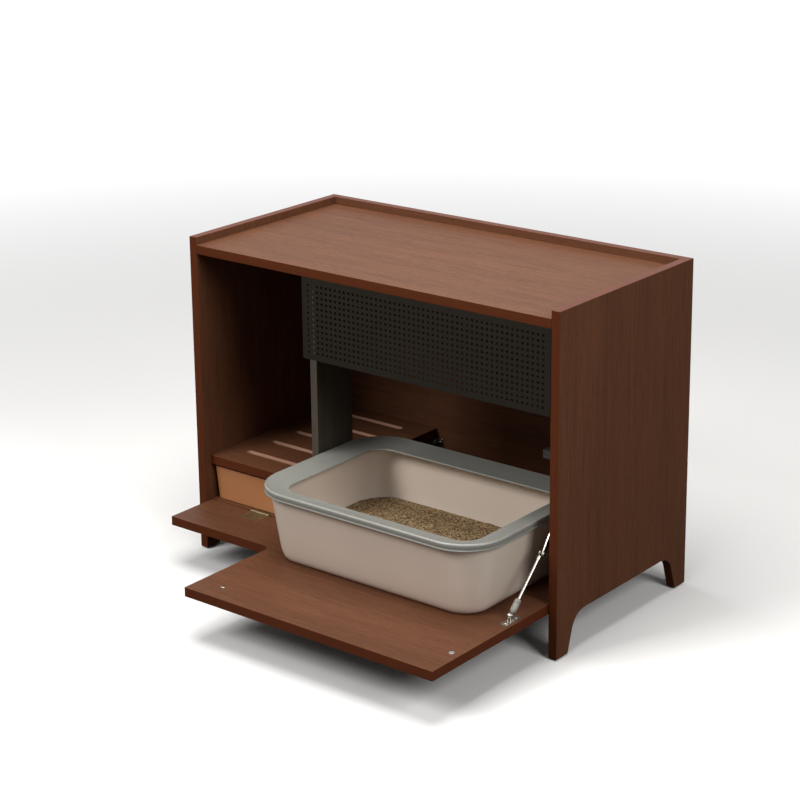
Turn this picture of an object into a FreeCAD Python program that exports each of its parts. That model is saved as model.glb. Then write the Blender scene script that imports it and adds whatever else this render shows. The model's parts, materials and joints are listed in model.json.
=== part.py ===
"""Cat litter box cabinet: a boarded carcass on tapered feet with a drop-down front door.

Millimetres, +X to the right, +Y to the back, +Z up. The origin is on the floor, under the
middle of the whole part with its door lying open. The door is drawn open, as it rests.
"""
import FreeCAD, Part
import math
import os

import Sketcher

VECTOR = FreeCAD.Vector
DOC = FreeCAD.newDocument("LitterCabinet")

# ---------------------------------------------------------------- driving dimensions

SIZES = {
    # carcass boards
    "width": 800, "depth": 400, "height": 598, "board": 16.5, "top_recess": 14,
    "floor_level": 95.5, "arch_height": 69, "foot_width": 33, "foot_taper": 21,
    "arch_radius": 25, "glide_height": 2.5, "glide_radius": 6, "glide_inset": 18,
    # fasteners inside the boards
    "dowel_radius": 4, "dowel_length": 28, "dowel_bite": 10, "dowel_inset": 45,
    "cam_radius": 7.5, "cam_depth": 12, "cam_inset": 34, "cam_line": 100,
    "cam_slot": 1.6, "bolt_radius": 3, "bolt_bite": 10, "fit": 0.05,
    "back_screw_radius": 2.2, "back_screw_length": 40, "back_head_radius": 4.2,
    "back_head_depth": 3, "back_screw_inset": 63.5,
    # perforated grille
    "grille_gap": 5.5, "grille_height": 146.5, "grille_proud": 1, "grille_flange": 14,
    "sheet_metal": 1.2, "hole_radius": 2.5, "hole_pitch": 10, "hole_margin": 13,
    "grille_screw_radius": 1.8, "grille_screw_length": 11,
    "grille_head_radius": 3.4, "grille_head_depth": 1.8, "grille_screw_inset": 30,
    # step, its side board, the fin on it and the tray under it
    "step_width": 243, "step_level": 181, "slot_count": 5, "slot_first": 56,
    "slot_last": 42, "slot_width": 12, "slot_left_margin": 41, "slot_right_margin": 52,
    "fin_board": 15, "fin_depth": 95, "fin_back": 40, "pin_radius": 3, "pin_length": 22,
    "pin_inset": 18, "tray_gap": 2.5, "tray_front": 24, "tray_top_gap": 5.7, "tray_wall": 2.5,
    "tray_draft": 4, "tray_corner": 5, "rest_gap": 0.3, "tray_rear_gap": 6,
    "corner_leg": 15, "corner_thick": 1.5, "corner_down": 3, "corner_screw_radius": 1.5,
    "corner_screw_length": 10, "corner_head_radius": 3, "corner_head_depth": 1.5,
    # drop-down door
    "hinge_gap": 1, "side_gap": 2, "closing_gap": 1.5, "strip_reach": 92.5,
    "notch_lap": 1.5, "notch_corner": 15, "knob_side": 51, "knob_edge": 40,
    "knob_radius": 11, "knob_height": 17, "knob_neck_radius": 6, "knob_neck": 5,
    "knob_bolt_radius": 2, "knob_bolt_head": 4, "knob_bolt_rise": 1.2,
    # flap hinges
    "hinge_inset": 120, "leaf_width": 44, "leaf_reach": 34.5, "leaf_thick": 1.6,
    "leaf_start": 3, "barrel_radius": 2.5, "groove_radius": 3, "knuckle_length": 18,
    "knuckle_gap": 0.3, "hinge_pin_radius": 1.4, "leaf_panel": 20, "leaf_dish": 0.5,
    "leaf_screw_radius": 1.5, "leaf_screw_length": 10, "leaf_head_radius": 2.8,
    "leaf_head_depth": 0.9, "leaf_screw_spread": 32,
    # magnetic catch
    "catch_length": 26, "catch_deep": 15, "catch_tall": 15, "catch_drop": 78.5,
    "magnet_length": 14, "magnet_tall": 9, "magnet_deep": 8, "strike_radius": 5,
    "strike_thick": 1, "strike_in": 18.5,
    # folding stay
    "stay_inset": 13.5, "stay_foot_distance": 103, "stay_pin_height": 10,
    "stay_plate_length": 40, "stay_plate_width": 13, "stay_plate_thick": 1.5,
    "stay_ear_thick": 1.5, "stay_ear_width": 9, "stay_pin_radius": 2,
    "stay_eye_thick": 3, "stay_eye_radius": 5.5, "stay_lower": 115, "stay_bow": 9.5,
    "stay_collar_radius": 3.6, "stay_collar_length": 6,
    "stay_sleeve_radius": 5.5, "stay_sleeve_start": 5.5, "stay_sleeve_length": 25,
    "stay_rod_radius": 2.5, "stay_link_width": 10, "stay_link_thick": 2.5,
    "stay_link_gap": 0.4, "stay_rivet_radius": 4, "stay_rivet_rise": 1.5,
    "stay_wall_back": 65, "stay_wall_level": 277, "wall_plate_width": 22,
    "wall_plate_tall": 46, "wall_plate_thick": 2, "wall_boss_radius": 6,
    "wall_pin_radius": 3, "wall_pin_head": 4.5, "stay_screw_radius": 1.7,
    "stay_screw_length": 11, "stay_head_radius": 3, "stay_head_depth": 1.4,
    # litter pan
    "pan_side_gap": 2, "pan_stay_gap": 34, "pan_reach": 154.5, "pan_depth": 350,
    "pan_height": 136, "pan_corner": 78, "rim_overhang": 9, "rim_band": 43,
    "rim_drop": 10, "rim_thick": 2.5, "rim_skirt": 10, "rim_round": 2.2,
    "tub_draft": 20, "tub_wall": 2.6, "tub_corner_loss": 18, "tub_foot_round": 12,
    "tub_floor_inset": 4,
    "base_ring": 20, "base_recess": 4, "litter_depth": 26, "litter_gap": 0.3,
}

SHEET = DOC.addObject("Spreadsheet::Sheet", "dims")
for row, (alias, number) in enumerate(SIZES.items(), start=1):
    SHEET.set(f"A{row}", alias)
    SHEET.set(f"B{row}", str(number))
    SHEET.setAlias(f"B{row}", alias)
DOC.recompute()


def size(alias):
    """The number that a cell of the sheet holds."""
    return float(SHEET.get(alias))


def evaluate(text):
    """The present value of an expression on the sheet."""
    return float(SHEET.evalExpression(text))


# ---------------------------------------------------------------- places, as expressions

HALF = "(dims.width / 2)"
INNER = "(dims.width / 2 - dims.board)"
DOOR_LENGTH = ("(dims.height - dims.top_recess - dims.board - dims.grille_height"
               " - dims.floor_level - dims.closing_gap)")
FRONT = f"(({DOOR_LENGTH} - dims.board - dims.depth) / 2)"
BACK = f"({FRONT} + dims.depth)"
BACK_IN = f"({BACK} - dims.board)"
FLOOR = "dims.floor_level"
UNDER_FLOOR = "(dims.floor_level - dims.board)"
TOP = "(dims.height - dims.top_recess)"
UNDER_TOP = "(dims.height - dims.top_recess - dims.board)"
AXIS_Y = f"({FRONT} + dims.board)"
BEHIND_DOOR = f"({AXIS_Y} + dims.hinge_gap)"
STEP_RIGHT = f"(dims.step_width - {INNER})"
STEP_UNDER = "(dims.step_level - dims.board)"
GRILLE_WIDTH = f"({INNER} - {STEP_RIGHT} - dims.grille_gap)"
GRILLE_LEFT = f"({STEP_RIGHT} + dims.grille_gap)"
GRILLE_FRONT = f"({FRONT} - dims.grille_proud)"
GRILLE_BOTTOM = f"({UNDER_TOP} - dims.grille_height)"


# ---------------------------------------------------------------- building blocks

def place(piece, x_at, y_at, z_at, turn=None):
    """Bind a piece's place to the sheet, with a fixed turn where the piece has one."""
    if turn is not None:
        piece.Placement = FreeCAD.Placement(VECTOR(0, 0, 0), turn)
    piece.setExpression("Placement.Base.x", str(x_at))
    piece.setExpression("Placement.Base.y", str(y_at))
    piece.setExpression("Placement.Base.z", str(z_at))
    return piece


def block(name, x_at, y_at, z_at, along_x, along_y, along_z):
    """A box from its lowest corner."""
    piece = DOC.addObject("Part::Box", name)
    piece.setExpression("Length", str(along_x))
    piece.setExpression("Width", str(along_y))
    piece.setExpression("Height", str(along_z))
    return place(piece, x_at, y_at, z_at)


TURNS = {
    "+X": FreeCAD.Rotation(VECTOR(0, 1, 0), 90),
    "-X": FreeCAD.Rotation(VECTOR(0, 1, 0), -90),
    "+Y": FreeCAD.Rotation(VECTOR(1, 0, 0), -90),
    "-Y": FreeCAD.Rotation(VECTOR(1, 0, 0), 90),
    "+Z": FreeCAD.Rotation(VECTOR(0, 0, 1), 0),
    "-Z": FreeCAD.Rotation(VECTOR(1, 0, 0), 180),
}


def rod(name, way, x_at, y_at, z_at, radius, length):
    """A cylinder that starts at a point and runs one way along an axis."""
    piece = DOC.addObject("Part::Cylinder", name)
    piece.setExpression("Radius", str(radius))
    piece.setExpression("Height", str(length))
    return place(piece, x_at, y_at, z_at, TURNS[way])


def joined(name, pieces):
    """One solid made of several that meet."""
    piece = DOC.addObject("Part::MultiFuse", name)
    piece.Shapes = pieces
    piece.Refine = True
    return piece


def group(name, pieces):
    """Separate solids that share one node."""
    piece = DOC.addObject("Part::Compound", name)
    piece.Links = pieces
    return piece


def without(name, base, tools):
    """A piece with bores, pockets or notches taken out."""
    piece = DOC.addObject("Part::Cut", name)
    piece.Base = base
    piece.Tool = tools[0] if len(tools) == 1 else group(name + "_tools", tools)
    piece.Refine = True
    return piece


def rounded_rectangle(name, x_mid, y_mid, level, length, breadth, radius):
    """A level sketch of a rectangle with round corners, centred on its place."""
    sketch = DOC.addObject("Sketcher::SketchObject", name)
    place(sketch, x_mid, y_mid, level)
    half_x, half_y, bend = 40.0, 30.0, 8.0
    line, arc = Part.LineSegment, Part.ArcOfCircle
    corners = [(half_x - bend, bend - half_y), (half_x - bend, half_y - bend),
               (bend - half_x, half_y - bend), (bend - half_x, bend - half_y)]
    runs = [((bend - half_x, -half_y), (half_x - bend, -half_y)),
            ((half_x, bend - half_y), (half_x, half_y - bend)),
            ((half_x - bend, half_y), (bend - half_x, half_y)),
            ((-half_x, half_y - bend), (-half_x, bend - half_y))]
    for index in range(4):
        start, end = runs[index]
        sketch.addGeometry(line(VECTOR(*start, 0), VECTOR(*end, 0)), False)
        circle = Part.Circle(VECTOR(*corners[index], 0), VECTOR(0, 0, 1), bend)
        first = math.radians(90 * index - 90)
        sketch.addGeometry(arc(circle, first, first + math.pi / 2), False)
    for index in range(8):
        sketch.addConstraint(Sketcher.Constraint("Tangent", index, 2, (index + 1) % 8, 1))
    for index in (0, 4):
        sketch.addConstraint(Sketcher.Constraint("Horizontal", index))
        sketch.addConstraint(Sketcher.Constraint("Vertical", index + 2))
    for index in (3, 5, 7):
        sketch.addConstraint(Sketcher.Constraint("Equal", 1, index))
    bound = [
        (Sketcher.Constraint("Radius", 1, bend), radius),
        (Sketcher.Constraint("DistanceX", 6, 1, 2, 1, 2 * half_x), length),
        (Sketcher.Constraint("DistanceY", 0, 1, 4, 1, 2 * half_y), breadth),
        (Sketcher.Constraint("DistanceX", -1, 1, 2, 1, half_x), f"({length}) / 2"),
        (Sketcher.Constraint("DistanceY", -1, 1, 4, 1, half_y), f"({breadth}) / 2"),
    ]
    for constraint, value in bound:
        number = sketch.addConstraint(constraint)
        sketch.setExpression(f"Constraints[{number}]", str(value))
    return sketch


def prism(name, sketch, rise):
    """A sketch drawn straight up."""
    piece = DOC.addObject("Part::Extrusion", name)
    piece.Base = sketch
    piece.DirMode = "Custom"
    piece.Dir = VECTOR(0, 0, 1)
    piece.Solid = True
    piece.setExpression("LengthFwd", str(rise))
    return piece


def loft(name, sections):
    """A solid with straight sides from one sketch to the next."""
    piece = DOC.addObject("Part::Loft", name)
    piece.Sections = sections
    piece.Solid = True
    piece.Ruled = True
    return piece


def outline_pad(name, plane, points, thickness):
    """A body: a closed outline of bound corners on one origin plane, padded."""
    body = DOC.addObject("PartDesign::Body", name)
    sketch = body.newObject("Sketcher::SketchObject", name + "_outline")
    for feature in body.Origin.OriginFeatures:
        if feature.Role == plane:
            sketch.AttachmentSupport = [(feature, "")]
    sketch.MapMode = "FlatFace"
    count = len(points)
    values = [tuple(evaluate(value) for value in point) for point in points]
    for index in range(count):
        start = VECTOR(*values[index], 0)
        end = VECTOR(*values[(index + 1) % count], 0)
        sketch.addGeometry(Part.LineSegment(start, end), False)
    for index in range(count):
        following = (index + 1) % count
        sketch.addConstraint(Sketcher.Constraint("Coincident", index, 2, following, 1))
    for index, point in enumerate(points):
        for kind, value, text in zip(("DistanceX", "DistanceY"), values[index], point):
            constraint = Sketcher.Constraint(kind, -1, 1, index, 1, value)
            number = sketch.addConstraint(constraint)
            sketch.setExpression(f"Constraints[{number}]", text)
    pad = body.newObject("PartDesign::Pad", name + "_pad")
    pad.Profile = sketch
    pad.setExpression("Length", thickness)
    DOC.recompute()
    return body


def round_upright_edges(body, name, places, axis, radius):
    """Round the padded body's edges that run along an axis through the given places."""
    padded = body.Tip
    names = []
    for number, edge in enumerate(padded.Shape.Edges, start=1):
        ends = [vertex.Point for vertex in edge.Vertexes]
        if len(ends) != 2:
            continue
        run = ends[1] - ends[0]
        if abs(run.dot(axis)) < run.Length - 0.001:
            continue
        for spot in places:
            away = ends[0] - spot
            away = away - axis * away.dot(axis)
            if away.Length < 0.01:
                names.append(f"Edge{number}")
    fillet = body.newObject("PartDesign::Fillet", name)
    fillet.Base = (padded, names)
    fillet.setExpression("Radius", radius)
    body.Tip = fillet
    DOC.recompute()
    return body


NODES = {}


def node(label, piece):
    """Name a finished sub-part."""
    piece.Label = label
    NODES[label] = piece
    return piece


# ---------------------------------------------------------------- fasteners in the board ends

SIDES = (("left", -1), ("right", 1))
LEVELS = (("top", f"({UNDER_TOP} + dims.board / 2)"),
          ("bottom", f"({UNDER_FLOOR} + dims.board / 2)"))


def end_rod(name, side, y_at, z_at, radius, bite, length):
    """A rod across the joint of a level board and a side panel, biting into the panel."""
    way = "-X" if side > 0 else "+X"
    start = f"{side} * ({INNER} + {bite})"
    return rod(name, way, start, y_at, z_at, radius, length)


def board_fasteners():
    """Dowels, cam bolts and cam discs of both ends of the top and bottom panels, with bores."""
    dowels, bolts, discs = [], [], []
    bores = {("left", "end"): [], ("right", "end"): [], "top": [], "bottom": []}
    for side_name, side in SIDES:
        for level_name, level in LEVELS:
            under = UNDER_TOP if level_name == "top" else UNDER_FLOOR
            for place_name, direction in (("front", 1), ("rear", -1)):
                tag = f"{side_name}_{level_name}_{place_name}"
                edge = BEHIND_DOOR if direction > 0 else BACK_IN
                dowel_y = f"({edge} + {direction} * dims.dowel_inset)"
                cam_y = f"({edge} + {direction} * dims.cam_line)"
                dowels.append(end_rod(f"dowel_{tag}", side, dowel_y, level, "dims.dowel_radius",
                                      "dims.dowel_bite", "dims.dowel_length"))
                bolt_length = "dims.bolt_bite + dims.cam_inset - dims.cam_radius - dims.rest_gap"
                bolts.append(end_rod(f"bolt_{tag}", side, cam_y, level, "dims.bolt_radius",
                                     "dims.bolt_bite", bolt_length))
                disc_x = f"{side} * ({INNER} - dims.cam_inset)"
                disc = rod(f"disc_{tag}", "+Z", disc_x, cam_y, under, "dims.cam_radius",
                           "dims.cam_depth")
                slot = block(f"disc_slot_{tag}", f"{disc_x} - dims.cam_radius * 0.7",
                             f"{cam_y} - dims.cam_slot / 2", f"{under} - 1",
                             "dims.cam_radius * 1.4", "dims.cam_slot", "1 + dims.cam_slot")
                discs.append(without(f"cam_{tag}", disc, [slot]))
                bore_dowel = end_rod(f"dowel_bore_{tag}", side, dowel_y, level,
                                     "dims.dowel_radius + dims.fit", "dims.dowel_bite + dims.fit",
                                     "dims.dowel_length + 2 * dims.fit")
                bore_bolt = end_rod(f"bolt_bore_{tag}", side, cam_y, level,
                                    "dims.bolt_radius + dims.fit", "dims.bolt_bite + dims.fit",
                                    "dims.bolt_bite + dims.cam_inset")
                pocket = rod(f"cam_pocket_{tag}", "+Z", disc_x, cam_y, under,
                             "dims.cam_radius + dims.fit", "dims.cam_depth + dims.fit")
                bores[(side_name, "end")] += [bore_dowel, bore_bolt]
                bores[level_name] += [bore_dowel, bore_bolt, pocket]
    return dowels, bolts, discs, bores


DOWELS, BOLTS, CAMS, BORES = board_fasteners()
node("carcass_dowels", group("carcass_dowels", DOWELS))
node("cam_bolts", group("cam_bolts", BOLTS))
node("cam_discs", group("cam_discs", CAMS))


# ---------------------------------------------------------------- small dowels of the step

SIDE_BOARD_LEFT = f"({STEP_RIGHT} - dims.board)"
FIN_FRONT = f"({FRONT} + dims.fin_back)"
FIN_MID_X = f"({STEP_RIGHT} - dims.fin_board / 2)"
SIDE_MID_X = f"({STEP_RIGHT} - dims.board / 2)"


def small_dowels():
    """Dowels that hold the fin, the step and its side board, and the bores for them."""
    pins, bores = [], {"top": [], "step": [], "fin": [], "side": [], "left": [], "bottom": []}
    half_pin = "dims.pin_length / 2"

    def add(tag, way, x_at, y_at, z_at, boards):
        pins.append(rod(f"pin_{tag}", way, x_at, y_at, z_at, "dims.pin_radius",
                        "dims.pin_length"))
        shift = "dims.fit" if way in ("+X", "+Z") else "-dims.fit"
        bore_x = f"({x_at}) - {shift}" if way == "+X" else x_at
        bore_z = f"({z_at}) - {shift}" if way == "+Z" else z_at
        bore = rod(f"pin_bore_{tag}", way, bore_x, y_at, bore_z,
                   "dims.pin_radius + dims.fit", "dims.pin_length + 2 * dims.fit")
        for board in boards:
            bores[board].append(bore)

    for tag, y_at in (("front", f"({FIN_FRONT} + dims.pin_inset)"),
                      ("rear", f"({FIN_FRONT} + dims.fin_depth - dims.pin_inset)")):
        add(f"fin_top_{tag}", "+Z", FIN_MID_X, y_at, f"{UNDER_TOP} - {half_pin}",
            ("top", "fin"))
        add(f"fin_foot_{tag}", "+Z", FIN_MID_X, y_at, f"dims.step_level - {half_pin}",
            ("step", "fin"))
    for tag, y_at in (("front", f"({BEHIND_DOOR} + dims.pin_inset)"),
                      ("rear", f"({BACK_IN} - dims.pin_inset)")):
        add(f"step_left_{tag}", "+X", f"-{INNER} - {half_pin}", y_at,
            f"{STEP_UNDER} + dims.board / 2", ("left", "step"))
        add(f"side_foot_{tag}", "+Z", SIDE_MID_X, y_at, f"{FLOOR} - {half_pin}",
            ("bottom", "side"))
        add(f"side_top_{tag}", "+Z", SIDE_MID_X, y_at, f"{STEP_UNDER} - {half_pin}",
            ("step", "side"))
    return pins, bores


PINS, PIN_BORES = small_dowels()
node("step_and_fin_dowels", group("step_and_fin_dowels", PINS))


# ---------------------------------------------------------------- side panels

FOOT_IN = "(dims.foot_width + dims.foot_taper)"


def side_panel(label, x_at, bores):
    """A board with two tapered feet and a flat arch between them."""
    foot = "dims.glide_height"
    arch = "dims.arch_height"
    points = [(FRONT, foot), (f"{FRONT} + dims.foot_width", foot),
              (f"{FRONT} + {FOOT_IN}", arch), (f"{BACK} - {FOOT_IN}", arch),
              (f"{BACK} - dims.foot_width", foot), (BACK, foot),
              (BACK, "dims.height"), (FRONT, "dims.height")]
    body = outline_pad(label + "_board", "YZ_Plane", points, "dims.board")
    front, back = evaluate(FRONT), evaluate(BACK)
    inner_foot = evaluate(FOOT_IN)
    spots = [VECTOR(0, front + inner_foot, size("arch_height")),
             VECTOR(0, back - inner_foot, size("arch_height"))]
    round_upright_edges(body, label + "_arch", spots, VECTOR(1, 0, 0), "dims.arch_radius")
    place(body, x_at, "0", "0")
    return node(label, without(label, body, bores))


side_panel("left_side_panel", f"-{HALF}", BORES[("left", "end")] + PIN_BORES["left"])
side_panel("right_side_panel", INNER, BORES[("right", "end")])

GLIDES = []
for side_name, side in SIDES:
    for place_name, edge, direction in (("front", FRONT, 1), ("rear", BACK, -1)):
        glide = rod(f"glide_{side_name}_{place_name}", "+Z",
                    f"{side} * ({HALF} - dims.board / 2)",
                    f"{edge} + {direction} * dims.glide_inset", "0",
                    "dims.glide_radius", "dims.glide_height")
        GLIDES.append(glide)
node("foot_glides", group("foot_glides", GLIDES))


# ---------------------------------------------------------------- back, top and bottom panels

def back_screws():
    """Countersunk screws through the back panel into the rear edges of top and bottom."""
    screws, bores = [], []
    for level_name, level in LEVELS:
        for column in (-1, 0, 1):
            tag = f"{level_name}_{column + 1}"
            x_at = f"{column} * ({INNER} - dims.back_screw_inset)"
            shank = rod(f"back_shank_{tag}", "-Y", x_at, BACK, level,
                        "dims.back_screw_radius", "dims.back_screw_length")
            head = rod(f"back_head_{tag}", "-Y", x_at, BACK, level,
                       "dims.back_head_radius", "dims.back_head_depth")
            screws.append(joined(f"back_screw_{tag}", [shank, head]))
            bores.append(rod(f"back_bore_{tag}", "-Y", x_at, BACK, level,
                             "dims.back_screw_radius + dims.fit",
                             "dims.back_screw_length + dims.fit"))
            bores.append(rod(f"back_seat_{tag}", "-Y", x_at, BACK, level,
                             "dims.back_head_radius + dims.fit",
                             "dims.back_head_depth + dims.fit"))
    return screws, bores


BACK_SCREWS, BACK_BORES = back_screws()
node("back_panel_screws", group("back_panel_screws", BACK_SCREWS))

node("back_panel", without("back_panel", block(
    "back_blank", f"-{INNER}", BACK_IN, UNDER_FLOOR, f"2 * {INNER}", "dims.board",
    f"dims.height - {UNDER_FLOOR}"), BACK_BORES))

HINGE_XS = (("left", f"(dims.hinge_inset - {INNER})"), ("right", f"({INNER} - dims.hinge_inset)"))


def hinge_grooves():
    """Room round the hinge barrels, cut in both boards that meet at the hinge line."""
    return [rod(f"groove_{tag}", "+X", f"{x_mid} - dims.leaf_width / 2 - dims.knuckle_gap",
                AXIS_Y, FLOOR, "dims.groove_radius", "dims.leaf_width + 2 * dims.knuckle_gap")
            for tag, x_mid in HINGE_XS]


def hinge_recesses(name, y_at):
    """Flat recesses that take the leaves flush."""
    return [block(f"{name}_{tag}", f"{x_mid} - dims.leaf_width / 2 - dims.fit", y_at,
                  f"{FLOOR} - dims.leaf_thick", "dims.leaf_width + 2 * dims.fit",
                  "dims.leaf_reach + dims.fit", "dims.leaf_thick + 1")
            for tag, x_mid in HINGE_XS]


def leaf_screws(name, y_mid):
    """Three countersunk screws for each leaf, and the bores for them."""
    screws, bores, seats = [], [], []
    for tag, x_mid in HINGE_XS:
        for column in (-1, 0, 1):
            spot = f"{tag}_{column + 1}"
            x_at = f"({x_mid} + {column} * dims.leaf_screw_spread / 2)"
            level = f"{FLOOR} - dims.leaf_dish" if column == 0 else FLOOR
            shank = rod(f"{name}_shank_{spot}", "-Z", x_at, y_mid, level,
                        "dims.leaf_screw_radius", "dims.leaf_screw_length")
            head = rod(f"{name}_head_{spot}", "-Z", x_at, y_mid, level,
                       "dims.leaf_head_radius", "dims.leaf_head_depth")
            screws.append(joined(f"{name}_{spot}", [shank, head]))
            bores.append(rod(f"{name}_bore_{spot}", "-Z", x_at, y_mid, f"({level}) + 1",
                             "dims.leaf_screw_radius + dims.fit",
                             "dims.leaf_screw_length + dims.fit + 1"))
            seats.append(rod(f"{name}_seat_{spot}", "-Z", x_at, y_mid, f"({level}) + 1",
                             "dims.leaf_head_radius + dims.fit",
                             "dims.leaf_head_depth + dims.fit + 1"))
    return screws, bores, seats


LEAF_MID = "(dims.leaf_start + (dims.leaf_reach - dims.leaf_start) / 2)"
FIXED_MID = f"({AXIS_Y} + {LEAF_MID})"
DOOR_MID = f"({AXIS_Y} - {LEAF_MID})"
GROOVES = hinge_grooves()
FIXED_SCREWS, FIXED_BORES, FIXED_SEATS = leaf_screws("fixed_leaf_screw", FIXED_MID)
DOOR_SCREWS, DOOR_BORES, DOOR_SEATS = leaf_screws("door_leaf_screw", DOOR_MID)

node("top_panel", without("top_panel", block(
    "top_blank", f"-{INNER}", FRONT, UNDER_TOP, f"2 * {INNER}", f"{BACK_IN} - {FRONT}",
    "dims.board"), BORES["top"] + PIN_BORES["top"] + BACK_BORES))


# ---------------------------------------------------------------- perforated grille

def grille_screws():
    """Pan-head screws up through the grille's top flange into the top panel."""
    screws, bores = [], []
    flange = f"({UNDER_TOP} - dims.sheet_metal)"
    y_at = f"({GRILLE_FRONT} + dims.grille_flange / 2 + dims.grille_proud)"
    for column in range(4):
        share = f"{column} / 3 * ({GRILLE_WIDTH} - 2 * dims.grille_screw_inset)"
        x_at = f"({GRILLE_LEFT} + dims.grille_screw_inset + {share})"
        shank = rod(f"grille_shank_{column}", "+Z", x_at, y_at, flange,
                    "dims.grille_screw_radius", "dims.grille_screw_length")
        head = rod(f"grille_head_{column}", "-Z", x_at, y_at, flange,
                   "dims.grille_head_radius", "dims.grille_head_depth")
        screws.append(joined(f"grille_screw_{column}", [shank, head]))
        bores.append(rod(f"grille_bore_{column}", "+Z", x_at, y_at, f"{flange} - dims.fit",
                         "dims.grille_screw_radius + dims.fit",
                         "dims.grille_screw_length + 2 * dims.fit"))
    return screws, bores


GRILLE_SCREWS, GRILLE_BORES = grille_screws()
node("grille_screws", group("grille_screws", GRILLE_SCREWS))
NODES["top_panel"].Tool.Links = NODES["top_panel"].Tool.Links + GRILLE_BORES


def perforated_sheet():
    """The grille's front sheet with its square grid of round holes."""
    width, height = evaluate(GRILLE_WIDTH), size("grille_height")
    pitch, radius = size("hole_pitch"), size("hole_radius")
    columns = int((width - 2 * size("hole_margin")) / pitch) + 1
    rows = int((height - 2 * size("hole_margin")) / pitch) + 1
    first_x = (width - pitch * (columns - 1)) / 2
    first_z = (height - pitch * (rows - 1)) / 2
    facing = VECTOR(0, 1, 0)
    rim = Part.makePolygon([VECTOR(0, 0, 0), VECTOR(width, 0, 0), VECTOR(width, 0, height),
                            VECTOR(0, 0, height), VECTOR(0, 0, 0)])
    wires = [rim]
    for column in range(columns):
        for row in range(rows):
            middle = VECTOR(first_x + column * pitch, 0, first_z + row * pitch)
            wires.append(Part.Wire([Part.makeCircle(radius, middle, facing)]))
    face = Part.Face(wires, "Part::FaceMakerBullseye")
    return face.extrude(facing * size("sheet_metal"))


SHEET_FRONT = DOC.addObject("Part::Feature", "grille_front_sheet")
SHEET_FRONT.Shape = perforated_sheet()
place(SHEET_FRONT, GRILLE_LEFT, GRILLE_FRONT, GRILLE_BOTTOM)
FRAME_OUT = block("grille_fold_out", GRILLE_LEFT, f"{GRILLE_FRONT} + dims.sheet_metal",
                  GRILLE_BOTTOM, GRILLE_WIDTH,
                  "dims.grille_flange - dims.sheet_metal", "dims.grille_height")
FRAME_IN = block("grille_fold_in", f"{GRILLE_LEFT} + dims.sheet_metal", GRILLE_FRONT,
                 f"{GRILLE_BOTTOM} + dims.sheet_metal",
                 f"{GRILLE_WIDTH} - 2 * dims.sheet_metal", "dims.grille_flange + 1",
                 "dims.grille_height - 2 * dims.sheet_metal")
FOLDS = without("grille_folds", FRAME_OUT, [FRAME_IN] + GRILLE_BORES)
node("perforated_grille", joined("perforated_grille", [SHEET_FRONT, FOLDS]))


# ---------------------------------------------------------------- step, side board, fin, tray

def step_slots():
    """Long slots across the step, with round ends, that let grains fall through."""
    slots = []
    run = f"({BACK_IN} - {BEHIND_DOOR} - dims.slot_first - dims.slot_last)"
    length = "(dims.step_width - dims.slot_left_margin - dims.slot_right_margin)"
    for number in range(int(size("slot_count"))):
        y_at = f"{BEHIND_DOOR} + dims.slot_first + {number} / (dims.slot_count - 1) * {run}"
        x_at = f"-{INNER} + dims.slot_left_margin + {length} / 2"
        sketch = rounded_rectangle(f"slot_outline_{number}", x_at, y_at, f"{STEP_UNDER} - 1",
                                   length, "dims.slot_width",
                                   "dims.slot_width * 0.45")
        slots.append(prism(f"slot_{number}", sketch, "dims.board + 2"))
    return slots


node("slatted_step", without("slatted_step", block(
    "step_blank", f"-{INNER}", BEHIND_DOOR, STEP_UNDER, "dims.step_width",
    f"{BACK_IN} - {BEHIND_DOOR}", "dims.board"), step_slots() + PIN_BORES["step"]))

node("step_side_board", without("step_side_board", block(
    "side_board_blank", SIDE_BOARD_LEFT, BEHIND_DOOR, FLOOR, "dims.board",
    f"{BACK_IN} - {BEHIND_DOOR}", f"{STEP_UNDER} - {FLOOR}"), PIN_BORES["side"]))

node("divider_fin", without("divider_fin", block(
    "fin_blank", f"{STEP_RIGHT} - dims.fin_board", FIN_FRONT, "dims.step_level",
    "dims.fin_board", "dims.fin_depth", f"{UNDER_TOP} - dims.step_level"),
    PIN_BORES["fin"]))


def catch_tray():
    """An open tray whose walls lean out towards their top."""
    long_x = "(dims.step_width - dims.board - 2 * dims.tray_gap)"
    long_y = f"({BACK_IN} - dims.tray_rear_gap - {FRONT} - dims.tray_front)"
    x_mid = f"(-{INNER} + dims.tray_gap + {long_x} / 2)"
    y_mid = f"({FRONT} + dims.tray_front + {long_y} / 2)"
    foot = f"({FLOOR} + dims.rest_gap)"
    top = f"({STEP_UNDER} - dims.tray_top_gap)"
    loss, wall = "2 * dims.tray_draft", "2 * dims.tray_wall"
    outer = loft("tray_outer", [
        rounded_rectangle("tray_out_foot", x_mid, y_mid, foot, f"{long_x} - {loss}",
                          f"{long_y} - {loss}", "dims.tray_corner"),
        rounded_rectangle("tray_out_top", x_mid, y_mid, top, long_x, long_y,
                          "dims.tray_corner")])
    inner = loft("tray_inner", [
        rounded_rectangle("tray_in_foot", x_mid, y_mid, f"{foot} + dims.tray_wall",
                          f"{long_x} - {loss} - {wall}", f"{long_y} - {loss} - {wall}",
                          "dims.tray_corner - dims.tray_wall"),
        rounded_rectangle("tray_in_top", x_mid, y_mid, f"{top} + 0.5",
                          f"{long_x} - {wall}", f"{long_y} - {wall}",
                          "dims.tray_corner - dims.tray_wall")])
    return without("catch_tray", outer, [inner])


node("catch_tray", catch_tray())


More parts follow.
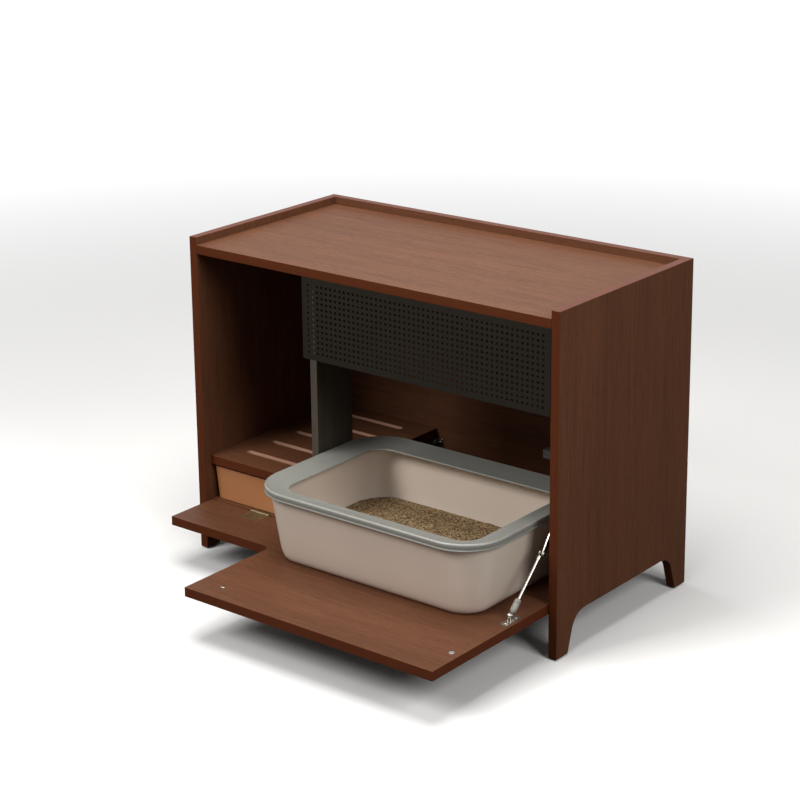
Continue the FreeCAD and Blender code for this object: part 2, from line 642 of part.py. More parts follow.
def corner_bracket():
    """A small bent bracket in the rear corner, its two screws and the bores for them."""
    leg, thick = "dims.corner_leg", "dims.corner_thick"
    low = f"({STEP_UNDER} - dims.corner_down - {leg})"
    along = block("corner_side_leg", STEP_RIGHT, f"{BACK_IN} - {leg}", low, thick, leg, leg)
    across = block("corner_rear_leg", STEP_RIGHT, f"{BACK_IN} - {thick}", low, leg, thick, leg)
    screws, bores = [], []
    spots = (("side", "-X", f"{STEP_RIGHT} + {thick}", f"{BACK_IN} - {leg} / 2"),
             ("rear", "+Y", f"{STEP_RIGHT} + {leg} / 2 + {thick} / 2", f"{BACK_IN} - {thick}"))
    turned = {"-X": "+X", "+Y": "-Y"}
    for tag, way, x_at, y_at in spots:
        middle = f"{low} + {leg} / 2"
        shank = rod(f"corner_shank_{tag}", way, x_at, y_at, middle,
                    "dims.corner_screw_radius", "dims.corner_screw_length")
        head = rod(f"corner_head_{tag}", turned[way], x_at, y_at, middle,
                   "dims.corner_head_radius", "dims.corner_head_depth")
        screws.append(joined(f"corner_screw_{tag}", [shank, head]))
        bores.append(rod(f"corner_bore_{tag}", way, x_at, y_at, middle,
                         "dims.corner_screw_radius + dims.fit",
                         "dims.corner_screw_length + dims.fit"))
    bracket = without("corner_bracket", joined("corner_blank", [along, across]), bores)
    return bracket, screws, bores


CORNER, CORNER_SCREWS, CORNER_BORES = corner_bracket()
node("corner_bracket", CORNER)
node("corner_screws", group("corner_screws", CORNER_SCREWS))
NODES["step_side_board"].Tool.Links = NODES["step_side_board"].Tool.Links + CORNER_BORES[:1]
NODES["back_panel"].Tool.Links = NODES["back_panel"].Tool.Links + CORNER_BORES[1:]

node("bottom_panel", without("bottom_panel", block(
    "bottom_blank", f"-{INNER}", BEHIND_DOOR, UNDER_FLOOR, f"2 * {INNER}",
    f"{BACK_IN} - {BEHIND_DOOR}", "dims.board"),
    BORES["bottom"] + PIN_BORES["bottom"] + BACK_BORES + GROOVES + FIXED_BORES
    + hinge_recesses("fixed_recess", AXIS_Y)))


# ---------------------------------------------------------------- drop-down door

DOOR_LEFT = f"(-{INNER} + dims.side_gap)"
DOOR_RIGHT = f"({INNER} - dims.side_gap)"
DOOR_FAR = f"({AXIS_Y} - {DOOR_LENGTH})"
DOOR_NEAR = f"({AXIS_Y} - dims.hinge_gap)"
STRIP_Y = f"({FRONT} - dims.strip_reach)"
NOTCH_X = f"({STEP_RIGHT} - dims.notch_lap)"
DOOR_UNDER = UNDER_FLOOR


KNOB_X = f"({NOTCH_X} + dims.knob_side)"
KNOB_Y = f"({DOOR_FAR} + dims.knob_edge)"


def drop_door():
    """The flap: a board with a square notch, the way in when it stands closed."""
    points = [(NOTCH_X, DOOR_FAR), (DOOR_RIGHT, DOOR_FAR), (DOOR_RIGHT, DOOR_NEAR),
              (DOOR_LEFT, DOOR_NEAR), (DOOR_LEFT, STRIP_Y), (NOTCH_X, STRIP_Y)]
    body = outline_pad("door_board", "XY_Plane", points, "dims.board")
    corner = VECTOR(evaluate(NOTCH_X), evaluate(STRIP_Y), 0)
    round_upright_edges(body, "door_notch_corner", [corner], VECTOR(0, 0, 1),
                        "dims.notch_corner")
    place(body, "0", "0", DOOR_UNDER)
    bolt_bore = rod("knob_bore", "+Z", KNOB_X, KNOB_Y, f"{DOOR_UNDER} - 1",
                    "dims.knob_bolt_radius + dims.fit", "dims.board + 2")
    recesses = hinge_recesses("door_recess", f"{AXIS_Y} - dims.leaf_reach - dims.fit")
    stay_bores = [bore for bore in STAY_FOOT_BORES]
    return without("drop_door", body, GROOVES + recesses + DOOR_BORES + stay_bores
                   + [bolt_bore])


# ---------------------------------------------------------------- folding stay

STAY_X = f"({INNER} - dims.stay_inset)"
FOOT_PIN_Y = f"({AXIS_Y} - dims.stay_foot_distance)"
FOOT_PIN_Z = f"({FLOOR} + dims.stay_pin_height)"
WALL_PIN_Y = f"({FRONT} + dims.stay_wall_back)"
WALL_PIN_Z = "dims.stay_wall_level"
SPAN_Y = f"({WALL_PIN_Y} - {FOOT_PIN_Y})"
SPAN_Z = f"({WALL_PIN_Z} - {FOOT_PIN_Z})"
SPAN = f"hypot({SPAN_Y}; {SPAN_Z})"
SPAN_ANGLE = f"atan2({SPAN_Z}; {SPAN_Y})"
LOWER_ALONG = "sqrt(dims.stay_lower * dims.stay_lower - dims.stay_bow * dims.stay_bow)"
LOWER_ANGLE = f"({SPAN_ANGLE} - asin(dims.stay_bow / dims.stay_lower))"
UPPER_ALONG = f"({SPAN} - {LOWER_ALONG})"
UPPER_LENGTH = f"hypot({UPPER_ALONG}; dims.stay_bow)"
UPPER_ANGLE = f"({SPAN_ANGLE} + atan2(dims.stay_bow; {UPPER_ALONG}))"


def leaning(piece, x_at, y_at, z_at, angle):
    """Turn a piece drawn along +Z to lean at an angle above +Y, about a point."""
    piece.Placement = FreeCAD.Placement(VECTOR(0, 0, 0), FreeCAD.Rotation(VECTOR(1, 0, 0), 1))
    piece.setExpression("Placement.Rotation.Angle", f"{angle} - 90 deg")
    piece.setExpression("Placement.Base.x", str(x_at))
    piece.setExpression("Placement.Base.y", str(y_at))
    piece.setExpression("Placement.Base.z", str(z_at))
    return piece


def stay_foot():
    """The foot on the door: plate with two ears, its pin and its screws with their bores."""
    plate_y = f"({FOOT_PIN_Y} - dims.stay_plate_length / 2)"
    ear_y = f"{FOOT_PIN_Y} - dims.stay_ear_width / 2"
    plate = block("foot_plate_blank", f"{STAY_X} - dims.stay_plate_width / 2", plate_y, FLOOR,
                  "dims.stay_plate_width", "dims.stay_plate_length", "dims.stay_plate_thick")
    pieces = [plate]
    ear_gap = "(dims.stay_eye_thick / 2 + dims.rest_gap)"
    pin_bore = rod("foot_pin_bore", "+X", f"{STAY_X} - dims.stay_plate_width", FOOT_PIN_Y,
                   FOOT_PIN_Z, "dims.stay_pin_radius + dims.fit", "2 * dims.stay_plate_width")
    for tag, x_at in (("in", f"{STAY_X} - {ear_gap} - dims.stay_ear_thick"),
                      ("out", f"{STAY_X} + {ear_gap}")):
        stem = block(f"foot_ear_{tag}", x_at, ear_y, FLOOR, "dims.stay_ear_thick",
                     "dims.stay_ear_width", "dims.stay_pin_height")
        crown = rod(f"foot_crown_{tag}", "+X", x_at, FOOT_PIN_Y, FOOT_PIN_Z,
                    "dims.stay_ear_width / 2", "dims.stay_ear_thick")
        pieces += [stem, crown]
    bracket = without("stay_foot_plate", joined("foot_bracket", pieces), [pin_bore])
    pin_half = f"({ear_gap} + dims.stay_ear_thick)"
    shank = rod("foot_pin_shank", "+X", f"{STAY_X} - {pin_half}", FOOT_PIN_Y, FOOT_PIN_Z,
                "dims.stay_pin_radius", f"2 * {pin_half}")
    heads = [rod("foot_pin_head_in", "-X", f"{STAY_X} - {pin_half}", FOOT_PIN_Y, FOOT_PIN_Z,
                 "dims.stay_pin_radius + 1", "0.8"),
             rod("foot_pin_head_out", "+X", f"{STAY_X} + {pin_half}", FOOT_PIN_Y, FOOT_PIN_Z,
                 "dims.stay_pin_radius + 1", "0.8")]
    pin = joined("stay_foot_pin", [shank] + heads)
    screws, bores = [], []
    for tag, direction in (("near", 1), ("far", -1)):
        y_at = f"{FOOT_PIN_Y} + {direction} * dims.stay_plate_length * 0.35"
        top = f"({FLOOR} + dims.stay_plate_thick)"
        shank = rod(f"stay_foot_shank_{tag}", "-Z", STAY_X, y_at, top,
                    "dims.stay_screw_radius", "dims.stay_screw_length")
        head = rod(f"stay_foot_head_{tag}", "+Z", STAY_X, y_at, top,
                   "dims.stay_head_radius", "dims.stay_head_depth")
        screws.append(joined(f"stay_foot_screw_{tag}", [shank, head]))
        bores.append(rod(f"stay_foot_bore_{tag}", "-Z", STAY_X, y_at, f"{top} + dims.fit",
                         "dims.stay_screw_radius + dims.fit",
                         "dims.stay_screw_length + 2 * dims.fit"))
    plate_cut = without("stay_foot_plate_bored", bracket, bores)
    return plate_cut, pin, screws, bores


FOOT_PLATE, FOOT_PIN, FOOT_SCREWS, STAY_FOOT_BORES = stay_foot()
node("stay_foot_plate", FOOT_PLATE)
node("stay_foot_pin", FOOT_PIN)
node("stay_foot_screws", group("stay_foot_screws", FOOT_SCREWS))
node("drop_door", drop_door())


def arm_piece(name, radius, start, length):
    """A round length of the lower arm, measured along it from the foot pin."""
    piece = DOC.addObject("Part::Cylinder", name)
    piece.setExpression("Radius", radius)
    piece.setExpression("Height", length)
    along_y = f"cos({LOWER_ANGLE}) * ({start})"
    along_z = f"sin({LOWER_ANGLE}) * ({start})"
    return leaning(piece, STAY_X, f"{FOOT_PIN_Y} + {along_y}", f"{FOOT_PIN_Z} + {along_z}",
                   LOWER_ANGLE)


ELBOW_Y = f"({FOOT_PIN_Y} + cos({LOWER_ANGLE}) * dims.stay_lower)"
ELBOW_Z = f"({FOOT_PIN_Z} + sin({LOWER_ANGLE}) * dims.stay_lower)"
EYE_LEFT = f"({STAY_X} - dims.stay_eye_thick / 2)"
LINK_LEFT = f"({STAY_X} + dims.stay_collar_radius + dims.stay_link_gap)"


def lower_arm():
    """Grey damper sleeve, bright rod with an eye at each end, and the elbow's rivet."""
    sleeve = arm_piece("sleeve_barrel", "dims.stay_sleeve_radius", "dims.stay_sleeve_start",
                       "dims.stay_sleeve_length")
    sleeve_bore = arm_piece("sleeve_bore", "dims.stay_rod_radius + dims.fit",
                            "dims.stay_sleeve_start - 1", "dims.stay_sleeve_length + 2")
    collar = arm_piece("rod_collar", "dims.stay_collar_radius",
                       "dims.stay_lower - dims.stay_eye_radius - dims.stay_collar_length",
                       "dims.stay_collar_length")
    clear_of_ear = "(dims.stay_ear_width / 2 + dims.rest_gap)"
    bar = arm_piece("rod_bar", "dims.stay_rod_radius", clear_of_ear,
                    f"dims.stay_lower - 2 * {clear_of_ear}")
    ends = []
    bores = []
    for tag, y_at, z_at, pin in (("foot", FOOT_PIN_Y, FOOT_PIN_Z, "dims.stay_pin_radius"),
                                 ("elbow", ELBOW_Y, ELBOW_Z, "dims.stay_pin_radius")):
        ends.append(rod(f"eye_{tag}", "+X", EYE_LEFT, y_at, z_at, "dims.stay_eye_radius",
                        "dims.stay_eye_thick"))
        bores.append(rod(f"eye_bore_{tag}", "+X", f"{EYE_LEFT} - 4", y_at, z_at,
                         f"{pin} + dims.fit", "dims.stay_eye_thick + 8"))
    arm = without("stay_lower_rod", joined("rod_blank", [bar, collar] + ends), bores)
    shank = rod("rivet_shank", "+X", EYE_LEFT, ELBOW_Y, ELBOW_Z, "dims.stay_pin_radius",
                f"{LINK_LEFT} - dims.rest_gap - {EYE_LEFT}")
    head = rod("rivet_head", "-X", EYE_LEFT, ELBOW_Y, ELBOW_Z, "dims.stay_rivet_radius",
               "dims.stay_rivet_rise")
    rivet = joined("stay_elbow_rivet", [shank, head])
    return without("stay_damper_sleeve", sleeve, [sleeve_bore]), arm, rivet


SLEEVE, LOWER_ROD, RIVET = lower_arm()
node("stay_damper_sleeve", SLEEVE)
node("stay_lower_rod", LOWER_ROD)
node("stay_elbow_rivet", RIVET)


def upper_link():
    """A flat dark link from the elbow up to the wall pin."""
    bar = DOC.addObject("Part::Box", "link_bar")
    bar.setExpression("Length", "dims.stay_link_thick")
    bar.setExpression("Width", "dims.stay_link_width")
    bar.setExpression("Height", UPPER_LENGTH)
    shift_y = f"sin({UPPER_ANGLE}) * dims.stay_link_width / 2"
    shift_z = f"cos({UPPER_ANGLE}) * dims.stay_link_width / 2"
    leaning(bar, LINK_LEFT, f"{ELBOW_Y} - {shift_y}", f"{ELBOW_Z} + {shift_z}", UPPER_ANGLE)
    ends = [rod("link_end_elbow", "+X", LINK_LEFT, ELBOW_Y, ELBOW_Z,
                "dims.stay_link_width / 2", "dims.stay_link_thick"),
            rod("link_end_wall", "+X", LINK_LEFT, WALL_PIN_Y, WALL_PIN_Z,
                "dims.stay_link_width / 2", "dims.stay_link_thick")]
    button = rod("link_button", "+X", f"{LINK_LEFT} + dims.stay_link_thick", ELBOW_Y, ELBOW_Z,
                 "dims.stay_rivet_radius", "dims.stay_rivet_rise")
    bore = rod("link_bore", "+X", f"{LINK_LEFT} - 1", WALL_PIN_Y, WALL_PIN_Z,
               "dims.wall_pin_radius + dims.fit", "dims.stay_link_thick + 2")
    return without("stay_upper_link", joined("link_blank", [bar, button] + ends), [bore])


node("stay_upper_link", upper_link())


def stay_wall():
    """Bracket on the right panel with the upper pin, and its screws with their bores."""
    face = f"({INNER} - dims.wall_plate_thick)"
    boss_start = f"({LINK_LEFT} + dims.stay_link_thick + dims.rest_gap)"
    plate = block("wall_plate", face, f"{WALL_PIN_Y} - dims.wall_plate_width / 2",
                  f"{WALL_PIN_Z} - dims.wall_plate_tall / 2", "dims.wall_plate_thick",
                  "dims.wall_plate_width", "dims.wall_plate_tall")
    boss = rod("wall_boss", "+X", boss_start, WALL_PIN_Y, WALL_PIN_Z,
               "dims.wall_boss_radius", f"{INNER} - {boss_start}")
    bore = rod("wall_pin_bore", "+X", f"{boss_start} - 1", WALL_PIN_Y, WALL_PIN_Z,
               "dims.wall_pin_radius + dims.fit", f"{INNER} - {boss_start} + 2")
    shank = rod("wall_pin_shank", "+X", f"{LINK_LEFT} - dims.rest_gap", WALL_PIN_Y, WALL_PIN_Z,
                "dims.wall_pin_radius", f"{INNER} - {LINK_LEFT} + dims.rest_gap")
    head = rod("wall_pin_head", "-X", f"{LINK_LEFT} - dims.rest_gap", WALL_PIN_Y, WALL_PIN_Z,
               "dims.wall_pin_head", "dims.stay_rivet_rise")
    screws, bores = [], []
    for tag, direction in (("upper", 1), ("lower", -1)):
        z_at = f"{WALL_PIN_Z} + {direction} * dims.wall_plate_tall * 0.34"
        shank_at = rod(f"wall_shank_{tag}", "+X", face, WALL_PIN_Y, z_at,
                       "dims.stay_screw_radius", "dims.stay_screw_length")
        head_at = rod(f"wall_head_{tag}", "-X", face, WALL_PIN_Y, z_at,
                      "dims.stay_head_radius", "dims.stay_head_depth")
        screws.append(joined(f"wall_screw_{tag}", [shank_at, head_at]))
        bores.append(rod(f"wall_bore_{tag}", "+X", f"{face} - dims.fit", WALL_PIN_Y, z_at,
                         "dims.stay_screw_radius + dims.fit",
                         "dims.stay_screw_length + 2 * dims.fit"))
    bracket = without("stay_wall_bracket", joined("wall_bracket", [plate, boss]),
                      [bore] + bores)
    return bracket, joined("stay_wall_pin", [shank, head]), screws, bores


WALL_BRACKET, WALL_PIN, WALL_SCREWS, WALL_BORES = stay_wall()
node("stay_wall_bracket", WALL_BRACKET)
node("stay_wall_pin", WALL_PIN)
node("stay_wall_screws", group("stay_wall_screws", WALL_SCREWS))
RIGHT_TOOLS = NODES["right_side_panel"].Tool
RIGHT_TOOLS.Links = RIGHT_TOOLS.Links + WALL_BORES


# ---------------------------------------------------------------- flap hinges

def hinge_leaf(name, x_mid, direction, knuckles, seats, screw_bores):
    """A leaf with its knuckles; direction is +1 for the leaf on the bottom panel."""
    start = "dims.leaf_start" if direction > 0 else "-dims.leaf_reach"
    y_at = f"{AXIS_Y} + {start}"
    plate = block(f"{name}_plate", f"{x_mid} - dims.leaf_width / 2", y_at,
                  f"{FLOOR} - dims.leaf_thick", "dims.leaf_width",
                  "dims.leaf_reach - dims.leaf_start", "dims.leaf_thick")
    pieces = [plate]
    for number, (first, length) in enumerate(knuckles):
        x_at = f"({x_mid} + {first})"
        tongue_y = AXIS_Y if direction > 0 else f"{AXIS_Y} - dims.leaf_start"
        pieces.append(block(f"{name}_tongue_{number}", x_at, tongue_y,
                            f"{FLOOR} - dims.leaf_thick", length, "dims.leaf_start",
                            "dims.leaf_thick"))
        pieces.append(rod(f"{name}_knuckle_{number}", "+X", x_at, AXIS_Y, FLOOR,
                          "dims.barrel_radius", length))
    bore = rod(f"{name}_bore", "+X", f"{x_mid} - dims.leaf_width", AXIS_Y, FLOOR,
               "dims.hinge_pin_radius + dims.fit", "2 * dims.leaf_width")
    middle = FIXED_MID if direction > 0 else DOOR_MID
    dish = block(f"{name}_dish", f"{x_mid} - dims.leaf_panel / 2",
                 f"{middle} - dims.leaf_panel / 2", f"{FLOOR} - dims.leaf_dish",
                 "dims.leaf_panel", "dims.leaf_panel", "1")
    return without(name, joined(f"{name}_blank", pieces), [bore, dish] + seats + screw_bores)


MIDDLE_KNUCKLE = [("(-dims.knuckle_length / 2)", "dims.knuckle_length")]
OUTER_LENGTH = "((dims.leaf_width - dims.knuckle_length) / 2 - dims.knuckle_gap)"
OUTER_KNUCKLES = [("(-dims.leaf_width / 2)", OUTER_LENGTH),
                  ("(dims.knuckle_length / 2 + dims.knuckle_gap)", OUTER_LENGTH)]
DOOR_LEAVES, FIXED_LEAVES, HINGE_PINS = [], [], []
for number, (tag, x_mid) in enumerate(HINGE_XS):
    screw_range = slice(3 * number, 3 * number + 3)
    DOOR_LEAVES.append(hinge_leaf(f"door_leaf_{tag}", x_mid, -1, MIDDLE_KNUCKLE,
                                  DOOR_SEATS[screw_range], DOOR_BORES[screw_range]))
    FIXED_LEAVES.append(hinge_leaf(f"fixed_leaf_{tag}", x_mid, 1, OUTER_KNUCKLES,
                                   FIXED_SEATS[screw_range], FIXED_BORES[screw_range]))
    HINGE_PINS.append(rod(f"hinge_pin_{tag}", "+X", f"{x_mid} - dims.leaf_width / 2", AXIS_Y,
                          FLOOR, "dims.hinge_pin_radius", "dims.leaf_width"))
node("door_hinge_leaves", group("door_hinge_leaves", DOOR_LEAVES))
node("fixed_hinge_leaves", group("fixed_hinge_leaves", FIXED_LEAVES))
node("hinge_pins", group("hinge_pins", HINGE_PINS))
node("door_leaf_screws", group("door_leaf_screws", DOOR_SCREWS))
node("fixed_leaf_screws", group("fixed_leaf_screws", FIXED_SCREWS))


# ---------------------------------------------------------------- knob and magnetic catch

KNOB_TOP = rod("knob_neck", "-Z", KNOB_X, KNOB_Y, DOOR_UNDER, "dims.knob_neck_radius",
               "dims.knob_neck")
KNOB_HEAD = rod("knob_head", "-Z", KNOB_X, KNOB_Y, f"{DOOR_UNDER} - dims.knob_neck",
                "dims.knob_radius", "dims.knob_height - dims.knob_neck")
KNOB_BORE = rod("knob_thread", "-Z", KNOB_X, KNOB_Y, DOOR_UNDER,
                "dims.knob_bolt_radius + dims.fit", "dims.knob_height * 0.7")
node("door_knob", without("door_knob", joined("knob_blank", [KNOB_TOP, KNOB_HEAD]),
                          [KNOB_BORE]))
BOLT_SHANK = rod("knob_bolt_shank", "-Z", KNOB_X, KNOB_Y, FLOOR, "dims.knob_bolt_radius",
                 "dims.board + dims.knob_height * 0.6")
BOLT_HEAD = rod("knob_bolt_head_disc", "+Z", KNOB_X, KNOB_Y, FLOOR, "dims.knob_bolt_head",
                "dims.knob_bolt_rise")
node("knob_bolt", joined("knob_bolt", [BOLT_SHANK, BOLT_HEAD]))

CATCH_Y = f"({AXIS_Y} + dims.strike_thick + dims.rest_gap)"
CATCH_X = f"({INNER} - dims.catch_length)"
CATCH_LOW = f"({FLOOR} + {DOOR_LENGTH} - dims.catch_drop)"
MAGNET_X = f"({INNER} - dims.strike_in - dims.magnet_length / 2)"
MAGNET_Z = f"({CATCH_LOW} + (dims.catch_tall - dims.magnet_tall) / 2)"
CATCH_BLANK = block("catch_blank", CATCH_X, CATCH_Y, CATCH_LOW, "dims.catch_length",
                    "dims.catch_deep", "dims.catch_tall")
MAGNET_POCKET = block("magnet_pocket", f"{MAGNET_X} - dims.fit", f"{CATCH_Y} - 1",
                      f"{MAGNET_Z} - dims.fit", "dims.magnet_length + 2 * dims.fit",
                      "dims.magnet_deep + dims.fit + 1", "dims.magnet_tall + 2 * dims.fit")
node("catch_case", without("catch_case", CATCH_BLANK, [MAGNET_POCKET]))
node("catch_magnet", block("catch_magnet", MAGNET_X, CATCH_Y, MAGNET_Z, "dims.magnet_length",
                           "dims.magnet_deep", "dims.magnet_tall"))
STRIKE_Y = f"({AXIS_Y} - ({CATCH_LOW} + dims.catch_tall / 2 - {FLOOR}))"
node("strike_disc", rod("strike_disc", "+Z", f"{INNER} - dims.strike_in", STRIKE_Y, FLOOR,
                        "dims.strike_radius", "dims.strike_thick"))


# ---------------------------------------------------------------- litter pan

PAN_WIDTH = f"({INNER} - {STEP_RIGHT} - dims.pan_side_gap - dims.pan_stay_gap)"
PAN_X = f"({STEP_RIGHT} + dims.pan_side_gap + {PAN_WIDTH} / 2)"
PAN_Y = f"({FRONT} - dims.pan_reach + dims.pan_depth / 2)"
PAN_FOOT = f"({FLOOR} + dims.rest_gap)"
PAN_TOP = f"({PAN_FOOT} + dims.pan_height)"
TUB_IN = "(2 * dims.rim_overhang)"
RIM_FALL = "((dims.rim_overhang + dims.tub_wall) * dims.rim_drop / dims.rim_band)"
TUB_TOP = f"({PAN_TOP} - {RIM_FALL} - dims.rim_thick - dims.rest_gap)"


def pan_section(name, level, loss, radius):
    """An outline of the pan at a level, smaller than the rim by a loss in each length."""
    return rounded_rectangle(name, PAN_X, PAN_Y, level, f"{PAN_WIDTH} - ({loss})",
                             f"dims.pan_depth - ({loss})", radius)


TUB_RADIUS = "(dims.pan_corner - dims.rim_overhang)"
BASE_RADIUS = f"({TUB_RADIUS} - dims.tub_corner_loss)"
BASE_LOSS = f"({TUB_IN} + 2 * dims.tub_draft)"
WALL_LOSS = "(2 * dims.tub_wall)"
TUB_FLOOR = f"({PAN_FOOT} + dims.base_recess + dims.tub_wall)"
INNER_BASE_LOSS = f"({BASE_LOSS} + {WALL_LOSS} + 2 * dims.tub_floor_inset)"
INNER_BASE_RADIUS = f"({BASE_RADIUS} - dims.tub_wall - dims.tub_floor_inset / 2)"
INNER_TOP_RADIUS = f"({TUB_RADIUS} - dims.tub_wall)"


def pan_tub():
    """The tub: leaning walls, round foot edge and a shallow recess under its base."""
    bend = "dims.tub_foot_round"
    lean = f"(2 * dims.tub_draft / ({TUB_TOP} - {PAN_FOOT}))"
    rings = []
    for number, share in enumerate((0, 0.13, 0.5, 1)):
        inset = f"({bend} * {1 - math.sqrt(1 - (1 - share) ** 2):.5f})"
        rings.append(pan_section(
            f"tub_out_bend_{number}", f"{PAN_FOOT} + {share} * {bend}",
            f"({BASE_LOSS} - {lean} * {share} * {bend} + 2 * {inset})",
            f"{BASE_RADIUS} - {inset}"))
    outer = loft("tub_outer", rings + [
        pan_section("tub_out_top", TUB_TOP, TUB_IN, TUB_RADIUS)])
    inner = loft("tub_inner", [
        pan_section("tub_in_foot", TUB_FLOOR, INNER_BASE_LOSS, INNER_BASE_RADIUS),
        pan_section("tub_in_top", f"{TUB_TOP} + 0.5", f"{TUB_IN} + {WALL_LOSS}",
                    INNER_TOP_RADIUS)])
    recess = prism("tub_recess", pan_section(
        "tub_recess_outline", f"{PAN_FOOT} - 1", f"{BASE_LOSS} + 2 * dims.base_ring",
        f"{BASE_RADIUS} - dims.base_ring"), "dims.base_recess + 1")
    return without("pan_tub", outer, [inner, recess])


def pan_rim():
    """The grey rim: a band that slopes inwards, with a skirt round its outer edge."""
    drop = "dims.rim_drop"
    outline = ("0", "dims.pan_corner")
    inside_loss = "(2 * dims.rim_band)"
    inside_radius = "(dims.pan_corner - dims.rim_band)"

    def slope(tag, lowered):
        return loft(f"rim_slope_{tag}", [
            pan_section(f"rim_low_{tag}", f"{PAN_TOP} - {drop} - {lowered}", inside_loss,
                        inside_radius),
            pan_section(f"rim_high_{tag}", f"{PAN_TOP} - {lowered}", *outline)])

    hollow = prism("rim_opening", pan_section(
        "rim_opening_outline", f"{PAN_TOP} - 3 * {drop}", inside_loss, inside_radius),
        f"4 * {drop}")
    band = without("rim_band", slope("under", "dims.rim_thick"), [slope("upper", "0"), hollow])
    skirt_out = prism("skirt_outer", pan_section("skirt_out", f"{PAN_TOP} - dims.rim_skirt",
                                                 *outline), "dims.rim_skirt")
    skirt_in = prism("skirt_inner", pan_section(
        "skirt_in", f"{PAN_TOP} - dims.rim_skirt - 1", "2 * dims.rim_thick",
        "dims.pan_corner - dims.rim_thick"), "dims.rim_skirt + 2")
    skirt = without("rim_skirt", skirt_out, [skirt_in])
    return joined("pan_rim", [band, skirt])


def litter_bed():
    """A level bed of litter that lies a hair inside the tub's walls."""
    rise = f"(dims.litter_depth / ({TUB_TOP} - {TUB_FLOOR}))"
    foot_loss = f"({INNER_BASE_LOSS} + 2 * dims.litter_gap)"
    top_gain = f"({INNER_BASE_LOSS} - {TUB_IN} - {WALL_LOSS}) * {rise}"
    low = f"{TUB_FLOOR} + dims.litter_gap"
    return loft("litter_bed", [
        pan_section("litter_foot", low, foot_loss, INNER_BASE_RADIUS),
        pan_section("litter_top", f"{low} + dims.litter_depth", f"{foot_loss} - {top_gain}",
                    f"{INNER_BASE_RADIUS} + ({INNER_TOP_RADIUS} - {INNER_BASE_RADIUS})"
                    f" * {rise}")])


node("pan_tub", pan_tub())
node("pan_rim", pan_rim())
node("litter_bed", litter_bed())


# ---------------------------------------------------------------- checks and export

def faults():
    """Every object of the document that failed, in words."""
    found = []
    for piece in DOC.Objects:
        for state in piece.State:
            if state in ("Invalid", "Error"):
                found.append(f"{piece.Label}: {state}")
    for label, piece in NODES.items():
        if piece.Shape.isNull() or not piece.Shape.isValid():
            found.append(f"{label}: no valid shape")
    return found


def main():
    """Work the document out, stop on any fault and write one file for each node."""
    DOC.recompute()
    found = faults()
    if found:
        raise RuntimeError("; ".join(found))
    os.makedirs("parts", exist_ok=True)
    for label, piece in NODES.items():
        piece.Shape.exportStep(f"parts/{label}.step")
        box = piece.Shape.BoundBox
        print(f"{label}: {len(piece.Shape.Solids)} solids, volume {piece.Shape.Volume:.0f},"
              f" x {box.XMin:.1f} {box.XMax:.1f} y {box.YMin:.1f} {box.YMax:.1f}"
              f" z {box.ZMin:.1f} {box.ZMax:.1f}")


main()
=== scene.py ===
"""Looks of a cat litter box cabinet, laid out as an add-on and run as a script.

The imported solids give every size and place. All lengths are in metres, +X to the right,
+Y to the back and +Z up.
"""
import json
import math
import random

import bmesh
import bpy
from mathutils import Matrix, Vector, noise

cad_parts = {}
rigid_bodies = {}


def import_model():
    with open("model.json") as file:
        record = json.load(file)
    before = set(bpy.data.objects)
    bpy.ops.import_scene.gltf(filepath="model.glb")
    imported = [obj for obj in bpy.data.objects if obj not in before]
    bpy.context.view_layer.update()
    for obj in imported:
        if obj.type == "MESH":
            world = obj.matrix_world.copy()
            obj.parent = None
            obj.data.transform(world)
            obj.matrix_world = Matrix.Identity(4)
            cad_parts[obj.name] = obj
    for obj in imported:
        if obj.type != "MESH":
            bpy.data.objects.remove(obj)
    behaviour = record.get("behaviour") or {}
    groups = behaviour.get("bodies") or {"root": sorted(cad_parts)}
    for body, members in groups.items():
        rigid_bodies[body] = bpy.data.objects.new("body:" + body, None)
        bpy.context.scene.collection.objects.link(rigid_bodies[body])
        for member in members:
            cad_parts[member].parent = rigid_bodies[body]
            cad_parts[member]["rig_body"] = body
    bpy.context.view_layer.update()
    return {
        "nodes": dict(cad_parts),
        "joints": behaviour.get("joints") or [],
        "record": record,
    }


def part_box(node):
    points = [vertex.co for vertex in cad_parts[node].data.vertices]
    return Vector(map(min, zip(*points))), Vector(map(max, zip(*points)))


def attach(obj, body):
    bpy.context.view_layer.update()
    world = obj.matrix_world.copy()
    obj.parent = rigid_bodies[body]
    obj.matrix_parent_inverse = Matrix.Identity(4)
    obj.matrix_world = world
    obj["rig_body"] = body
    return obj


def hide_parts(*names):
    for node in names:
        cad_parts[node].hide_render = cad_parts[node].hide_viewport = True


bl_info = {
    "name": "Litter cabinet looks",
    "version": (1, 0, 0),
    "blender": (4, 5, 0),
    "location": "View3D > Sidebar > Litter cabinet",
    "description": "Finishes, rounded edges and studio of a cat litter box cabinet",
    "category": "Object",
}

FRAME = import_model()
MM = 0.001
AXES = {"X": Vector((1, 0, 0)), "Y": Vector((0, 1, 0)), "Z": Vector((0, 0, 1))}

LITTER_CORNER = 58 * MM      # corner radius of the litter bed
LITTER_LEAN = 4 * MM         # how far the bed's sides lean in and grains keep off them
TILE_SPAN = 30 * MM          # side of the square of grains that is laid again and again
TILE_GRAINS = 42             # grains in that square
GRAIN_POINTS = 12            # points of one grain
KNUCKLE_RADIUS = 2.7 * MM    # reach of the hinge knuckles from their pin
ROD_BORE = 2.6 * MM          # radius of the hole in the stay's sleeve
BROAD = 0.9                  # least share of its normal that makes a face lie across an axis
SHARP_TURN = math.radians(50)
ROUND_SEGMENTS = 12          # along a board's rounded corner
PLAN_SEGMENTS = 14           # along a corner of the pan
ROLL_STEPS = 5               # along a rolled edge of the pan

